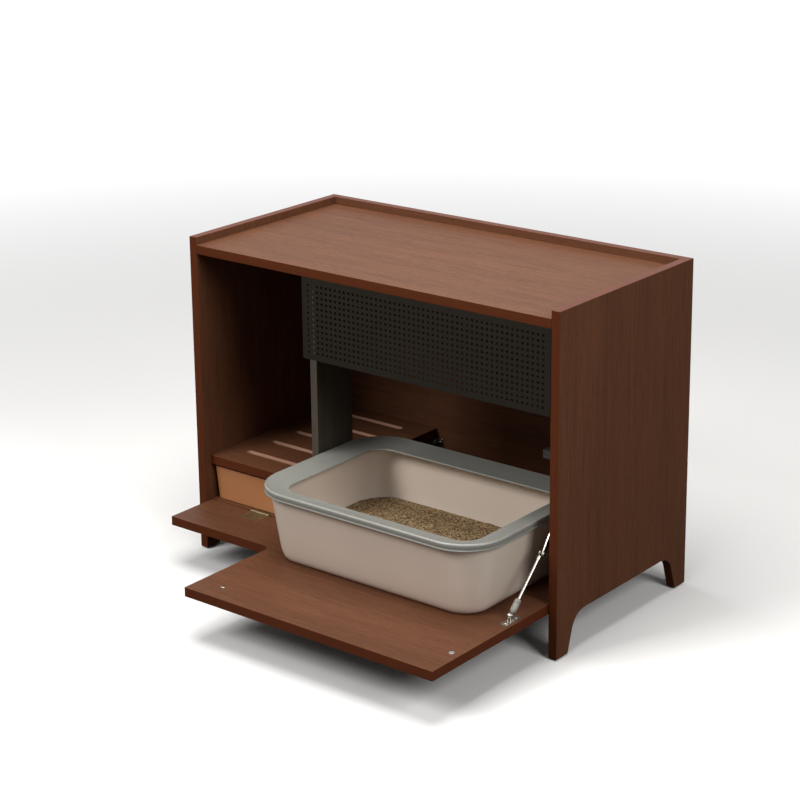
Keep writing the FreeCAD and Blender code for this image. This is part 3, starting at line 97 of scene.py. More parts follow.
# Turned pieces: shares of a piece's height and of its radius, along its axis.
GLIDE = ((0, 0), (0, 0.85), (0.3, 1), (1, 1), (1, 0))
STRIKE_DISC = ((0, 0), (0, 1), (0.6, 1), (1, 0.9), (1, 0.35), (0.5, 0.22), (0.5, 0))
KNOB = ((0, 0), (0, 0.6), (0.08, 0.62), (0.2, 0.5), (0.34, 0.56), (0.5, 0.9), (0.66, 1),
        (0.84, 0.96), (0.95, 0.8), (0.985, 0.55), (1, 0))

LAMP_AIM = Vector((0, 0, 0.3))
LAMPS = (                    # name, place, side length and colour
    ("key", (0.0, -0.1, 2.05), 1.4, (1.0, 0.98, 0.95)),
    ("fill_front", (-1.4, -2.9, 3.0), 1.6, (1.0, 0.99, 0.97)),
    ("fill_right", (2.6, -0.6, 1.9), 1.2, (1.0, 0.99, 0.97)),
)
FLOOR_REACH = 3.4            # distance at which the floor has turned white


def colour_prop(name, description, default):
    return bpy.props.FloatVectorProperty(
        name=name, description=description, subtype="COLOR", size=3, min=0, max=1,
        default=default)


def length_prop(name, description, default):
    return bpy.props.FloatProperty(
        name=name, description=description, subtype="DISTANCE", unit="LENGTH", min=0,
        precision=5, default=default)


def number_prop(name, description, default):
    return bpy.props.FloatProperty(name=name, description=description, default=default)


def srgb(*levels):
    """A colour as a screen shows it, 0 to 255, made linear."""
    return tuple(share / 12.92 if share <= 0.04045 else ((share + 0.055) / 1.055) ** 2.4
                 for share in (level / 255 for level in levels))


class CabinetSizes(bpy.types.PropertyGroup):
    """Sizes that the solids leave to the finish."""
    arris: length_prop("Arris", "Rounding of the boards' edges", 0.7 * MM)
    small_arris: length_prop("Hardware arris", "Rounding of metal edges", 0.25 * MM)
    foot_width: length_prop("Foot width", "Width of a foot at the floor", 33 * MM)
    foot_taper: length_prop("Foot taper", "What a foot gains up to the arch", 21 * MM)
    arch_height: length_prop("Arch height", "Level of the arch between the feet", 69 * MM)
    arch_radius: length_prop("Arch radius", "Rounding where a foot meets the arch", 25 * MM)
    rim_band: length_prop("Rim band", "Width of the pan's rim", 43 * MM)
    rim_drop: length_prop("Rim drop", "Fall of the rim towards the pan", 10 * MM)
    rim_round: length_prop("Rim roll", "Rounding of the rim's outer edge", 3.2 * MM)
    rim_wall: length_prop("Rim wall", "Thickness of the rim", 2.5 * MM)
    pan_corner: length_prop("Pan corner", "Outer corner radius of the rim", 78 * MM)
    rim_overhang: length_prop("Rim overhang", "How far the rim reaches past the tub", 9 * MM)
    tub_wall: length_prop("Tub wall", "Thickness of the tub", 2.6 * MM)
    tub_draft: length_prop("Tub draft", "How far the walls lean in", 20 * MM)
    tray_round: length_prop("Tray rounding", "Rounding of the tray's edges", 0.9 * MM)
    grain_size: length_prop("Litter grain", "Size of a litter grain", 3.2 * MM)
    litter_swell: length_prop("Litter swell", "Height of the litter's heaps", 2.4 * MM)


class CabinetColours(bpy.types.PropertyGroup):
    """Colours of the finishes."""
    wood_light: colour_prop("Wood, light", "Light grain of the laminate", srgb(106, 67, 45))
    wood_dark: colour_prop("Wood, dark", "Dark grain of the laminate", srgb(78, 48, 32))
    edge_light: colour_prop("Edge band, light", "Light tone of the edges", srgb(98, 47, 23))
    edge_dark: colour_prop("Edge band, dark", "Dark tone of the edges", srgb(77, 37, 17))
    inner_light: colour_prop("Inner board, light", "Light tone inside", srgb(72, 66, 58))
    inner_dark: colour_prop("Inner board, dark", "Dark tone inside", srgb(52, 47, 41))
    inner_edge: colour_prop("Inner board edge", "Edge of the upright board", srgb(92, 84, 75))
    sheet: colour_prop("Grille", "Powder coat of the grille", srgb(30, 26, 20))
    tub: colour_prop("Tub", "Plastic of the tub", srgb(222, 208, 194))
    rim: colour_prop("Rim", "Plastic of the rim", srgb(138, 138, 132))
    tray: colour_prop("Tray", "Plastic of the catch tray", srgb(190, 130, 86))
    grain_light: colour_prop("Grain, light", "Light litter grains", srgb(208, 178, 132))
    grain_dark: colour_prop("Grain, dark", "Dark litter grains", srgb(122, 92, 62))
    steel: colour_prop("Steel", "Bright plated steel", srgb(176, 172, 164))
    raw: colour_prop("Raw board", "Cut board inside the slots", srgb(188, 144, 120))
    brass: colour_prop("Knuckle", "Bright brass of the knuckles", srgb(140, 122, 92))
    dark_brass: colour_prop("Hinge", "Bronzed hinges", srgb(126, 112, 84))
    black: colour_prop("Black", "Black parts", srgb(34, 32, 30))
    sleeve: colour_prop("Sleeve", "Grey sleeve of the stay", srgb(142, 138, 130))
    beech: colour_prop("Beech", "Dowels", srgb(204, 170, 126))
    zinc: colour_prop("Zinc", "Cam discs", srgb(150, 150, 150))
    magnet: colour_prop("Magnet", "Ground face of the magnet", srgb(52, 51, 52))


class StudioSettings(bpy.types.PropertyGroup):
    """Camera and light."""
    eye: bpy.props.FloatVectorProperty(
        name="Camera place", description="Where the camera stands", subtype="TRANSLATION",
        default=(2.2261, -2.7276, 1.5620))
    look: bpy.props.FloatVectorProperty(
        name="Camera aim", description="Direction that the camera looks in",
        default=(-0.60638, 0.74280, -0.28382))
    roll: bpy.props.FloatProperty(
        name="Camera roll", description="Turn about the aim", subtype="ANGLE",
        default=math.radians(0.775))
    lens: number_prop("Lens", "Focal length for a 36 mm sensor", 97.26)
    shift_x: number_prop("Shift X", "Sideways shift of the frame", 0.025)
    shift_y: number_prop("Shift Y", "Upward shift of the frame", -0.1125)
    key: number_prop("Key light", "Strength of the large light above", 38.0)
    fill_front: number_prop("Front light", "Strength of the light in front", 102.0)
    fill_right: number_prop("Side light", "Strength of the light on the right", 40.0)
    sky: number_prop("Sky", "Strength of the light all round", 0.14)


class Strand:
    """A node's output that takes part in plain arithmetic."""

    def __init__(self, recipe, socket):
        self.recipe = recipe
        self.socket = socket

    def _join(self, operation, first, second):
        return self.recipe.node("ShaderNodeMath", {"operation": operation},
                                {0: first, 1: second})

    def __add__(self, other):
        return self._join("ADD", self, other)

    __radd__ = __add__

    def __sub__(self, other):
        return self._join("SUBTRACT", self, other)

    def __rsub__(self, other):
        return self._join("SUBTRACT", other, self)

    def __mul__(self, other):
        return self._join("MULTIPLY", self, other)

    __rmul__ = __mul__


class Recipe:
    """A material in the making: one Principled shader and the nodes that feed it."""

    def __init__(self, name, **constants):
        self.material = bpy.data.materials.new(name)
        self.material.use_nodes = True
        self.tree = self.material.node_tree
        self.shader = self.tree.nodes["Principled BSDF"]
        for socket, value in constants.items():
            self.shader.inputs[socket.replace("_", " ")].default_value = value

    def node(self, kind, settings=None, inputs=None, output=0):
        """Add a node: its settings first, then the values or links of its sockets."""
        made = self.tree.nodes.new(kind)
        for key, value in (settings or {}).items():
            if key == "stops":
                ramp = made.color_ramp
                while len(ramp.elements) < len(value):
                    ramp.elements.new(1.0)
                for element, (place, tone) in zip(ramp.elements, value):
                    element.position = place
                    element.color = tone
            else:
                setattr(made, key, value)
        for key, value in (inputs or {}).items():
            if isinstance(value, Strand):
                self.tree.links.new(value.socket, made.inputs[key])
            else:
                made.inputs[key].default_value = value
        return Strand(self, made.outputs[output])

    def place(self, scale, shift=(0, 0, 0)):
        """Object coordinates, scaled and shifted."""
        here = self.node("ShaderNodeTexCoord", output="Object")
        return self.node("ShaderNodeMapping", {"vector_type": "POINT"},
                         {"Vector": here, "Scale": scale, "Location": shift})

    def noise(self, at, scale, detail, rough=0.55, distortion=0.0):
        """Soft noise from 0 to 1."""
        return self.node("ShaderNodeTexNoise", {"noise_dimensions": "3D"},
                         {"Vector": at, "Scale": scale, "Detail": detail,
                          "Roughness": rough, "Distortion": distortion})

    def ramp(self, value, stops):
        """A value turned to a grey between stops."""
        greys = [(place, (tone, tone, tone, 1)) for place, tone in stops]
        return self.node("ShaderNodeValToRGB", {"stops": greys}, {"Fac": value})

    def blend(self, share, low, high):
        """A colour between two."""
        def full(value):
            return value if isinstance(value, Strand) else (*value[:3], 1.0)
        return self.node("ShaderNodeMix", {"data_type": "RGBA"},
                         {0: share, 6: full(low), 7: full(high)}, output=2)

    def mottle(self, share, tone, spread):
        """A colour that varies a little round a tone."""
        return self.blend(share, [value * (1 - spread) for value in tone],
                          [min(1.0, value * (1 + spread)) for value in tone])

    def feed(self, socket, strand):
        """Link a strand to the shader."""
        self.tree.links.new(strand.socket, self.shader.inputs[socket])

    def bump(self, height, strength, distance):
        """Raise the surface by a height."""
        self.feed("Normal", self.node("ShaderNodeBump", None,
                                      {"Height": height, "Strength": strength,
                                       "Distance": distance}))


MATERIALS = {}


def streaks(along, across):
    """A scale that draws noise out along an axis."""
    return [1 if axis == along else across for axis in "XYZ"]


def wood(name, along, light, dark, shift, roughness=0.5, contrast=1.0):
    """Printed wood grain: long fine streaks over slow clouds."""
    recipe = Recipe(name, Specular_IOR_Level=0.15)
    long_way = streaks(along, 16)
    base = recipe.place(long_way, shift)
    clouds = recipe.noise(base, 1.6, 5.0, 0.6, 0.7)
    lines = recipe.noise(base, 9.0, 6.0, 0.7, 0.25)
    pores = recipe.noise(recipe.place([value * 2.6 for value in long_way], shift), 26.0, 3.0,
                         0.6)
    slow = recipe.ramp(clouds, [(0.3, 0.0), (0.72, 1.0)])
    fine = recipe.ramp(lines, [(0.32, 0.0), (0.68, 1.0)])
    dark_pores = recipe.ramp(pores, [(0.34, 1.0), (0.46, 0.0)])
    share = slow * (0.45 * contrast) + fine * (0.5 * contrast) + 0.5 * (1 - 0.95 * contrast)
    tone = recipe.blend(share, dark, light)
    deep = [value * 0.5 for value in dark]
    recipe.feed("Base Color", recipe.blend(dark_pores * (0.5 * contrast), tone, deep))
    recipe.feed("Roughness", fine * -0.06 + (roughness + 0.04) + dark_pores * 0.12)
    recipe.bump(dark_pores * -0.7 + fine * 0.3, 0.22, 0.0004)
    return recipe.material


def moulded(name, tone, roughness, coat, mottle=0.05):
    """Moulded plastic with a faint texture."""
    recipe = Recipe(name, Coat_Weight=coat, Coat_Roughness=0.22)
    at = recipe.place((1, 1, 1))
    cloud = recipe.noise(at, 9.0, 3.0, 0.5)
    skin = recipe.noise(at, 900.0, 2.0, 0.5)
    recipe.feed("Base Color", recipe.mottle(cloud, tone, mottle))
    recipe.feed("Roughness", cloud * 0.08 + (roughness - 0.04))
    recipe.bump(skin, 0.12, 0.0002)
    return recipe.material


def metal(name, tone, roughness, along=None, metallic=1.0, wear=0.1):
    """Metal with a brushed or cloudy surface."""
    recipe = Recipe(name, Metallic=metallic)
    scale = streaks(along, 60) if along else (9, 9, 9)
    brushed = recipe.noise(recipe.place(scale), 40.0, 3.0, 0.6)
    cloud = recipe.noise(recipe.place((1, 1, 1)), 30.0, 4.0, 0.6)
    recipe.feed("Base Color", recipe.mottle(cloud, tone, wear))
    recipe.feed("Roughness", brushed * 0.14 + cloud * 0.08 + (roughness - 0.1))
    recipe.bump(brushed, 0.08, 0.0001)
    return recipe.material


def powder_coat(name, tone):
    """Satin powder coat with a fine orange peel."""
    recipe = Recipe(name, Specular_IOR_Level=0.2)
    at = recipe.place((1, 1, 1))
    peel = recipe.noise(at, 700.0, 2.0, 0.5)
    cloud = recipe.noise(at, 12.0, 3.0, 0.5)
    recipe.feed("Base Color", recipe.mottle(cloud, tone, 0.1))
    recipe.feed("Roughness", peel * 0.1 + 0.42)
    recipe.bump(peel, 0.2, 0.0002)
    return recipe.material


def grains(name, light, dark, size):
    """Loose plant grains: each cell has its own tone and a round back, and painted shade
    darkens the gaps between cells.
    """
    recipe = Recipe(name, Specular_IOR_Level=0.25)
    at = recipe.place((1, 1, 1))
    wobble = recipe.noise(at, 0.35 / size, 2.0, 0.5)
    cells = {"voronoi_dimensions": "3D", "feature": "F1"}
    spread = {"Vector": at, "Scale": 1 / size, "Randomness": 1.0}
    distance = recipe.node("ShaderNodeTexVoronoi", cells, spread, "Distance")
    pick = recipe.node("ShaderNodeTexVoronoi", cells, spread, "Color")
    chance, second = [recipe.node("ShaderNodeSeparateColor", None, {"Color": pick}, channel)
                      for channel in ("Red", "Green")]
    tone = recipe.blend(recipe.ramp(chance, [(0.0, 0.0), (0.75, 0.8), (1.0, 1.0)]),
                        dark, light)
    pale = recipe.ramp(second, [(0.86, 0.0), (0.9, 1.0)])
    tone = recipe.blend(pale * 0.55, tone, srgb(222, 206, 172))
    # Painted shade: each cell darkens towards its edge, for the shade in the gaps between
    # grains.
    gap_shade = recipe.ramp(distance, [(0.38, 0.0), (0.72, 1.0)])
    tone = recipe.blend(gap_shade * 0.62, tone, [value * 0.28 for value in dark])
    tone = recipe.blend(recipe.ramp(wobble, [(0.35, 0.25), (0.65, 0.0)]), tone,
                        [value * 0.6 for value in dark])
    recipe.feed("Base Color", tone)
    recipe.feed("Roughness", chance * 0.15 + 0.75)
    recipe.bump(1 - distance, 0.9, size * 0.6)
    return recipe.material


def prepare_materials():
    """Make each finish once."""
    def tone(name):
        return tuple(getattr(bpy.context.scene.cabinet_colours, name))

    light, dark = tone("wood_light"), tone("wood_dark")
    edge_light, edge_dark = tone("edge_light"), tone("edge_dark")
    inner_light, inner_dark = tone("inner_light"), tone("inner_dark")
    beech = tone("beech")
    MATERIALS.update({
        "board_along_x": wood("laminate along X", "X", light, dark, (0.3, 0.1, 0.7)),
        "board_along_z": wood("laminate along Z", "Z", light, dark, (0.9, 0.4, 0.2)),
        "board_edge": wood("edge band", "X", edge_light, edge_dark, (0.5, 0.8, 0.1), 0.4, 0.6),
        "side_edge": wood("edge band upright", "Z", edge_light, edge_dark, (0.2, 0.3, 0.6),
                          0.4, 0.6),
        "inner_board": wood("inner laminate", "Y", inner_light, inner_dark, (0.1, 0.6, 0.4),
                            0.5, 0.7),
        "inner_upright": wood("inner laminate upright", "Z", inner_light, inner_dark,
                              (0.4, 0.2, 0.8), 0.5, 0.7),
        "inner_edge": wood("inner edge band", "Z", tone("inner_edge"), inner_light,
                           (0.7, 0.1, 0.3), 0.45, 0.5),
        "raw_board": moulded("raw board", tone("raw"), 0.8, 0.0, 0.12),
        "beech": wood("beech", "X", beech, [value * 0.8 for value in beech], (0, 0, 0),
                      0.6, 0.5),
        "tub": moulded("tub plastic", tone("tub"), 0.38, 0.25),
        "rim": moulded("rim plastic", tone("rim"), 0.34, 0.3),
        "tray": moulded("tray plastic", tone("tray"), 0.45, 0.15),
        "black_plastic": moulded("black plastic", tone("black"), 0.5, 0.05),
        "sleeve": moulded("sleeve plastic", tone("sleeve"), 0.5, 0.05),
        "grille": powder_coat("grille coat", tone("sheet")),
        "black_metal": powder_coat("black coat", tone("black")),
        "steel": metal("plated steel", tone("steel"), 0.28),
        "brass": metal("bright brass", tone("brass"), 0.35),
        "hinge": metal("bronzed hinge", tone("dark_brass"), 0.4, "X", 0.9, 0.25),
        "zinc": metal("die-cast zinc", tone("zinc"), 0.5),
        "magnet": metal("ground magnet", tone("magnet"), 0.55, None, 0.3),
        "litter": grains("litter grains", tone("grain_light"), tone("grain_dark"),
                         bpy.context.scene.cabinet_sizes.grain_size),
    })


def body_of(node):
    """The moving body that a node of the solids belongs to."""
    return FRAME["nodes"][node]["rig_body"]


def slot_of(node):
    """The material slot that the record gives a node."""
    for entry in FRAME["record"]["subparts"]:
        if entry["node"] == node:
            return entry["material_slot"]
    raise RuntimeError(f"no slot for {node}")


def pivot(joint_name):
    """The place of a joint."""
    return next(Vector(joint["pos_m"]) for joint in FRAME["joints"]
                if joint["name"] == joint_name)


def as_mesh(name, mesh_data):
    """Close a bmesh into a mesh."""
    mesh = bpy.data.meshes.new(name)
    mesh_data.to_mesh(mesh)
    mesh_data.free()
    return mesh


def placed(name, data):
    """A new object in the scene."""
    made = bpy.data.objects.new(name, data)
    bpy.context.scene.collection.objects.link(made)
    return made


def finished(name, mesh_data, materials, nodes, crease=32):
    """Merge a bmesh and make it the object that takes the place of its nodes."""
    bmesh.ops.remove_doubles(mesh_data, verts=mesh_data.verts, dist=1e-6)
    bmesh.ops.recalc_face_normals(mesh_data, faces=mesh_data.faces)
    mesh = as_mesh(name, mesh_data)
    for key in materials:
        mesh.materials.append(MATERIALS[key])
    mesh.shade_smooth()
    mesh.set_sharp_from_angle(angle=math.radians(crease))
    made = placed(name, mesh)
    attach(made, body_of(nodes[0]))
    slot_of(nodes[0])
    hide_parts(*nodes)
    return made


def dress(node, material):
    """Give a node of the solids its finish as it is."""
    shown = FRAME["nodes"][node]
    shown.data.materials.clear()
    shown.data.materials.append(MATERIALS[material])
    slot_of(node)


def node_copy(node):
    """A merged copy of a node's mesh."""
    copy = bmesh.new()
    copy.from_mesh(FRAME["nodes"][node].data)
    bmesh.ops.remove_doubles(copy, verts=copy.verts, dist=2e-6)
    bmesh.ops.dissolve_limit(copy, angle_limit=math.radians(1), verts=copy.verts,
                             edges=copy.edges)
    return copy


def even_light(made):
    """Let large flat faces keep their own normals beside rounded arrises."""
    weigh = made.modifiers.new("flat_faces", "WEIGHTED_NORMAL")
    weigh.keep_sharp = True


def softened(node, materials, width, choose=None):
    """A node with its sharp edges rounded by a modifier; choose picks a face's material."""
    copy = node_copy(node)
    for face in copy.faces:
        face.material_index = choose(face) if choose else 0
    made = finished(node + "_soft", copy, materials, [node])
    bevel = made.modifiers.new("arris", "BEVEL")
    bevel.width = width
    bevel.segments = 2
    bevel.limit_method = "ANGLE"
    bevel.angle_limit = math.radians(40)
    even_light(made)


def broad_or_edge(axis):
    """Index 0 for a board's broad faces, 1 for its edges."""
    return lambda face: 0 if abs(face.normal.dot(AXES[axis])) > BROAD else 1


def sharp_edges(mesh_data):
    """Edges at which the surface turns sharply."""
    return [edge for edge in mesh_data.edges
            if len(edge.link_faces) == 2
            and edge.calc_face_angle(0) > SHARP_TURN]


def slab(outline, axis, low, high, arris, rounds):
    """A board from its outline across an axis: rounded corners, thickness, soft arrises."""
    mesh_data = bmesh.new()
    fill = {"X": lambda a, b: (low, a, b), "Y": lambda a, b: (a, low, b),
            "Z": lambda a, b: (a, b, low)}[axis]
    corners = [mesh_data.verts.new(fill(*point)) for point in outline]
    mesh_data.faces.new(corners)
    for index, radius in sorted((rounds or {}).items(), reverse=True):
        bmesh.ops.bevel(mesh_data, geom=[corners[index]], offset=radius,
                        segments=ROUND_SEGMENTS, profile=0.5, affect="VERTICES",
                        material=-1, clamp_overlap=False)
    grown = bmesh.ops.extrude_face_region(mesh_data, geom=list(mesh_data.faces),
                                          use_keep_orig=True)
    moved = [item for item in grown["geom"] if isinstance(item, bmesh.types.BMVert)]
    bmesh.ops.translate(mesh_data, verts=moved, vec=AXES[axis] * (high - low))
    bmesh.ops.recalc_face_normals(mesh_data, faces=mesh_data.faces)
    bmesh.ops.bevel(mesh_data, geom=sharp_edges(mesh_data), offset=arris, segments=2,
                    profile=0.5, affect="EDGES", material=-1, clamp_overlap=True)
    pick = broad_or_edge(axis)
    for face in mesh_data.faces:
        face.material_index = pick(face)
    return mesh_data


def rectangle(low, high, first, second):
    """Outline of a box's face in two of its directions."""
    return [(low[first], low[second]), (high[first], low[second]),
            (high[first], high[second]), (low[first], high[second])]


def board(node, axis, materials, arris, outline=None, rounds=None):
    """A node as a flat board, from its outline across an axis."""
    low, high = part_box(node)
    across = "XYZ".index(axis)
    if outline is None:
        first, second = [index for index in range(3) if index != across]
        outline = rectangle(low, high, first, second)
    shape = slab(outline, axis, low[across], high[across], arris, rounds)
    even_light(finished(node + "_board", shape, materials, [node]))


class PlanShape:
    """A rounded rectangle seen from above, from which walls and floors are walked."""

    def __init__(self, mesh_data, low, high, corner):
        self.mesh_data = mesh_data
        self.middle = (low + high) / 2
        self.span = high - low
        self.corner = corner

    def start(self, inset, level, up=True):
        """A flat face of the shape at an inset and a level."""
        circle = bmesh.ops.create_circle(self.mesh_data, cap_ends=True, segments=4,
                                         radius=math.sqrt(0.5),
                                         matrix=Matrix.Rotation(math.pi / 4, 4, "Z"))
        verts = circle["verts"]
        size = (self.span.x - 2 * inset, self.span.y - 2 * inset, 1)
        bmesh.ops.scale(self.mesh_data, verts=verts, vec=size)
        bmesh.ops.translate(self.mesh_data, verts=verts,
                            vec=(self.middle.x, self.middle.y, level))
        made = bmesh.ops.bevel(self.mesh_data, geom=verts, offset=self.corner - inset,
                               segments=PLAN_SEGMENTS, profile=0.5, affect="VERTICES",
                               material=-1, clamp_overlap=False)
        face = next(face for vert in made["verts"] for face in vert.link_faces)
        if (face.normal.z > 0) != up:
            face.normal_flip()
        return face

    def spread(self, verts, distance):
        """Move verts of the shape's outline outwards in plan."""
        inner = self.span / 2 - Vector((self.corner, self.corner, 0))
        for vert in verts:
            away = vert.co - self.middle
            past = Vector((max(abs(away.x) - inner.x, 0), max(abs(away.y) - inner.y, 0)))
            if past.length > 1e-6:
                past *= distance / past.length
                vert.co.x += math.copysign(past.x, away.x)
                vert.co.y += math.copysign(past.y, away.y)

    def walk(self, face, inset, level, steps, keep_end=True):
        """Carry the face along steps of inset and level, leaving walls behind."""
        for new_inset, new_level in steps:
            if new_inset - inset > 1e-7:
                sign = 1 if face.normal.z > 0 else -1
                bmesh.ops.inset_region(self.mesh_data, faces=[face],
                                       thickness=new_inset - inset,
                                       depth=(new_level - level) * sign,
                                       use_even_offset=True, use_boundary=True)
            else:
                made = bmesh.ops.extrude_face_region(self.mesh_data, geom=[face])
                if face.is_valid:
                    bmesh.ops.delete(self.mesh_data, geom=[face], context="FACES_ONLY")
                face = next(item for item in made["geom"]
                            if isinstance(item, bmesh.types.BMFace))
                bmesh.ops.translate(self.mesh_data, verts=face.verts,
                                    vec=(0, 0, new_level - level))
                self.spread(face.verts, inset - new_inset)
            inset, level = new_inset, new_level
        if not keep_end:
            bmesh.ops.delete(self.mesh_data, geom=[face], context="FACES_ONLY")


def roll(start, end, centre_inset, centre_level, radius):
    """Points of inset and level along an arc, angles in degrees."""
    points = []
    for number in range(1, ROLL_STEPS + 1):
        angle = math.radians(start + (end - start) * number / ROLL_STEPS)
        points.append((centre_inset + radius * math.cos(angle),
                       centre_level + radius * math.sin(angle)))
    return points


def turned(mesh_data, profile, foot, direction, steps):
    """Spin a profile of (length along, radius) about an axis from a foot point."""
    direction = direction.normalized()
    across = direction.orthogonal().normalized()
    chain = [mesh_data.verts.new(foot + direction * along + across * radius)
             for along, radius in profile]
    edges = [mesh_data.edges.new(pair) for pair in zip(chain, chain[1:])]
    bmesh.ops.spin(mesh_data, geom=chain + edges, cent=foot, axis=direction,
                   angle=2 * math.pi, steps=steps, use_merge=True)
    bmesh.ops.remove_doubles(mesh_data, verts=mesh_data.verts, dist=1e-7)


def lathe(mesh_data, low, high, shares, steps, down=False):
    """Turn a piece that fills a box from the shares of its height and radius."""
    tall, radius = high.z - low.z, (high.x - low.x) / 2
    middle = (low + high) / 2
    foot = Vector((middle.x, middle.y, high.z if down else low.z))
    turned(mesh_data, [(tall * along, radius * away) for along, away in shares], foot,
           -AXES["Z"] if down else AXES["Z"], steps)


def islands(node):
    """Lowest and highest corner of each separate solid in a node."""
    copy = node_copy(node)
    left, found = set(copy.verts), []
    while left:
        stack, group = [left.pop()], []
        while stack:
            vert = stack.pop()
            group.append(vert.co.copy())
            for edge in vert.link_edges:
                other = edge.other_vert(vert)
                if other in left:
                    left.discard(other)
                    stack.append(other)
        found.append((Vector(map(min, zip(*group))), Vector(map(max, zip(*group)))))
    copy.free()
    return sorted(found, key=lambda box: tuple(round(value, 4) for value in box[0]))


def positive(direction):
    """A direction with all its parts made positive."""
    return Vector([abs(value) for value in direction])


def screw_heads(name, node, outward, material, radius, rise):
    """Headed screws: a domed head and a plain shank, with two thin black bars on the head as
    painted shade of a cross recess.
    """
    mesh_data = bmesh.new()
    painted_cross_spots = []
    for low, high in islands(node):
        depth = (high - low).dot(positive(outward))
        top = (low + high) / 2 + outward * (depth / 2)
        profile = [(-depth, 0.0), (-depth + 0.5 * MM, radius * 0.45),
                   (-rise - radius * 0.6, radius * 0.5), (-rise, radius),
                   (-rise * 0.5, radius * 0.94), (-rise * 0.12, radius * 0.7), (0.0, 0.0)]
        turned(mesh_data, profile, top, outward, 20)
        painted_cross_spots.append(top)
    side = outward.orthogonal().normalized()
    # Painted shade: a thin black bar in each of two directions across the head, where a cross
    # recess would hold shade.
    for top in painted_cross_spots:
        for way in (side, outward.cross(side)):
            shade_bar = bmesh.ops.create_cube(mesh_data, size=1.0)["verts"]
            frame = Matrix((way, outward.cross(way), outward)).transposed().to_4x4()
            shape = Matrix.Diagonal((radius * 1.1, radius * 0.24, rise * 0.2, 1))
            bmesh.ops.transform(mesh_data, verts=shade_bar,
                                matrix=Matrix.Translation(top) @ frame @ shape)
            for vert in shade_bar:
                for face in vert.link_faces:
                    face.material_index = 1
    finished(name, mesh_data, [material, "black_metal"], [node])


class PieceOperator:
    """What the operators share."""
    bl_options = {"REGISTER", "UNDO"}

    @property
    def sizes(self):
        return bpy.context.scene.cabinet_sizes


class LITTERCABINET_OT_carcass(PieceOperator, bpy.types.Operator):
    """Side panels with their feet, top, back and bottom boards"""
    bl_idname = "littercabinet.carcass"
    bl_label = "Carcass boards"

    def execute(self, context):
        sizes = self.sizes
        for node in ("left_side_panel", "right_side_panel"):
            low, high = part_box(node)
            inner = sizes.foot_width + sizes.foot_taper
            outline = [(low.y, low.z), (low.y + sizes.foot_width, low.z),
                       (low.y + inner, sizes.arch_height),
                       (high.y - inner, sizes.arch_height),
                       (high.y - sizes.foot_width, low.z), (high.y, low.z),
                       (high.y, high.z), (low.y, high.z)]
            board(node, "X", ["board_along_z", "side_edge"], sizes.arris, outline,
                  {2: sizes.arch_radius, 3: sizes.arch_radius})
        for node, axis in (("top_panel", "Z"), ("back_panel", "Y")):
            board(node, axis, ["board_along_x", "board_edge"], sizes.arris)
        softened("bottom_panel", ["board_along_x", "board_edge"], sizes.arris,
                 broad_or_edge("Z"))
        return {"FINISHED"}


class LITTERCABINET_OT_door(PieceOperator, bpy.types.Operator):
    """Drop-down door with its entry notch"""
    bl_idname = "littercabinet.door"
    bl_label = "Drop-down door"

    def execute(self, context):
        softened("drop_door", ["board_along_x", "board_edge"], self.sizes.arris,
                 broad_or_edge("Z"))
        return {"FINISHED"}


class LITTERCABINET_OT_step(PieceOperator, bpy.types.Operator):
    """Slatted step, its side board and the upright board on it"""
    bl_idname = "littercabinet.step"
    bl_label = "Step and divider"

    def execute(self, context):
        low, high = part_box("slatted_step")
        rim = 3 * MM

        def part_of_step(face):
            """Index 0 on top and below, 1 on the edges, 2 inside the slots."""
            if abs(face.normal.z) > BROAD:
                return 0
            place = face.calc_center_median()
            within = (low.x + rim < place.x < high.x - rim
                      and low.y + rim < place.y < high.y - rim)
            return 2 if within else 1

        softened("slatted_step", ["board_along_x", "board_edge", "raw_board"],
                 self.sizes.small_arris, part_of_step)
        board("step_side_board", "X", ["inner_board", "inner_board"], self.sizes.arris)
        board("divider_fin", "X", ["inner_upright", "inner_edge"], self.sizes.arris)
        return {"FINISHED"}


class LITTERCABINET_OT_grille(PieceOperator, bpy.types.Operator):
    """Perforated band over the door"""
    bl_idname = "littercabinet.grille"
    bl_label = "Perforated grille"

    def execute(self, context):
        dress("perforated_grille", "grille")
        return {"FINISHED"}


class LITTERCABINET_OT_tray(PieceOperator, bpy.types.Operator):
    """Catch tray under the step"""
    bl_idname = "littercabinet.tray"
    bl_label = "Catch tray"

    def execute(self, context):
        softened("catch_tray", ["tray"], self.sizes.tray_round)
        return {"FINISHED"}


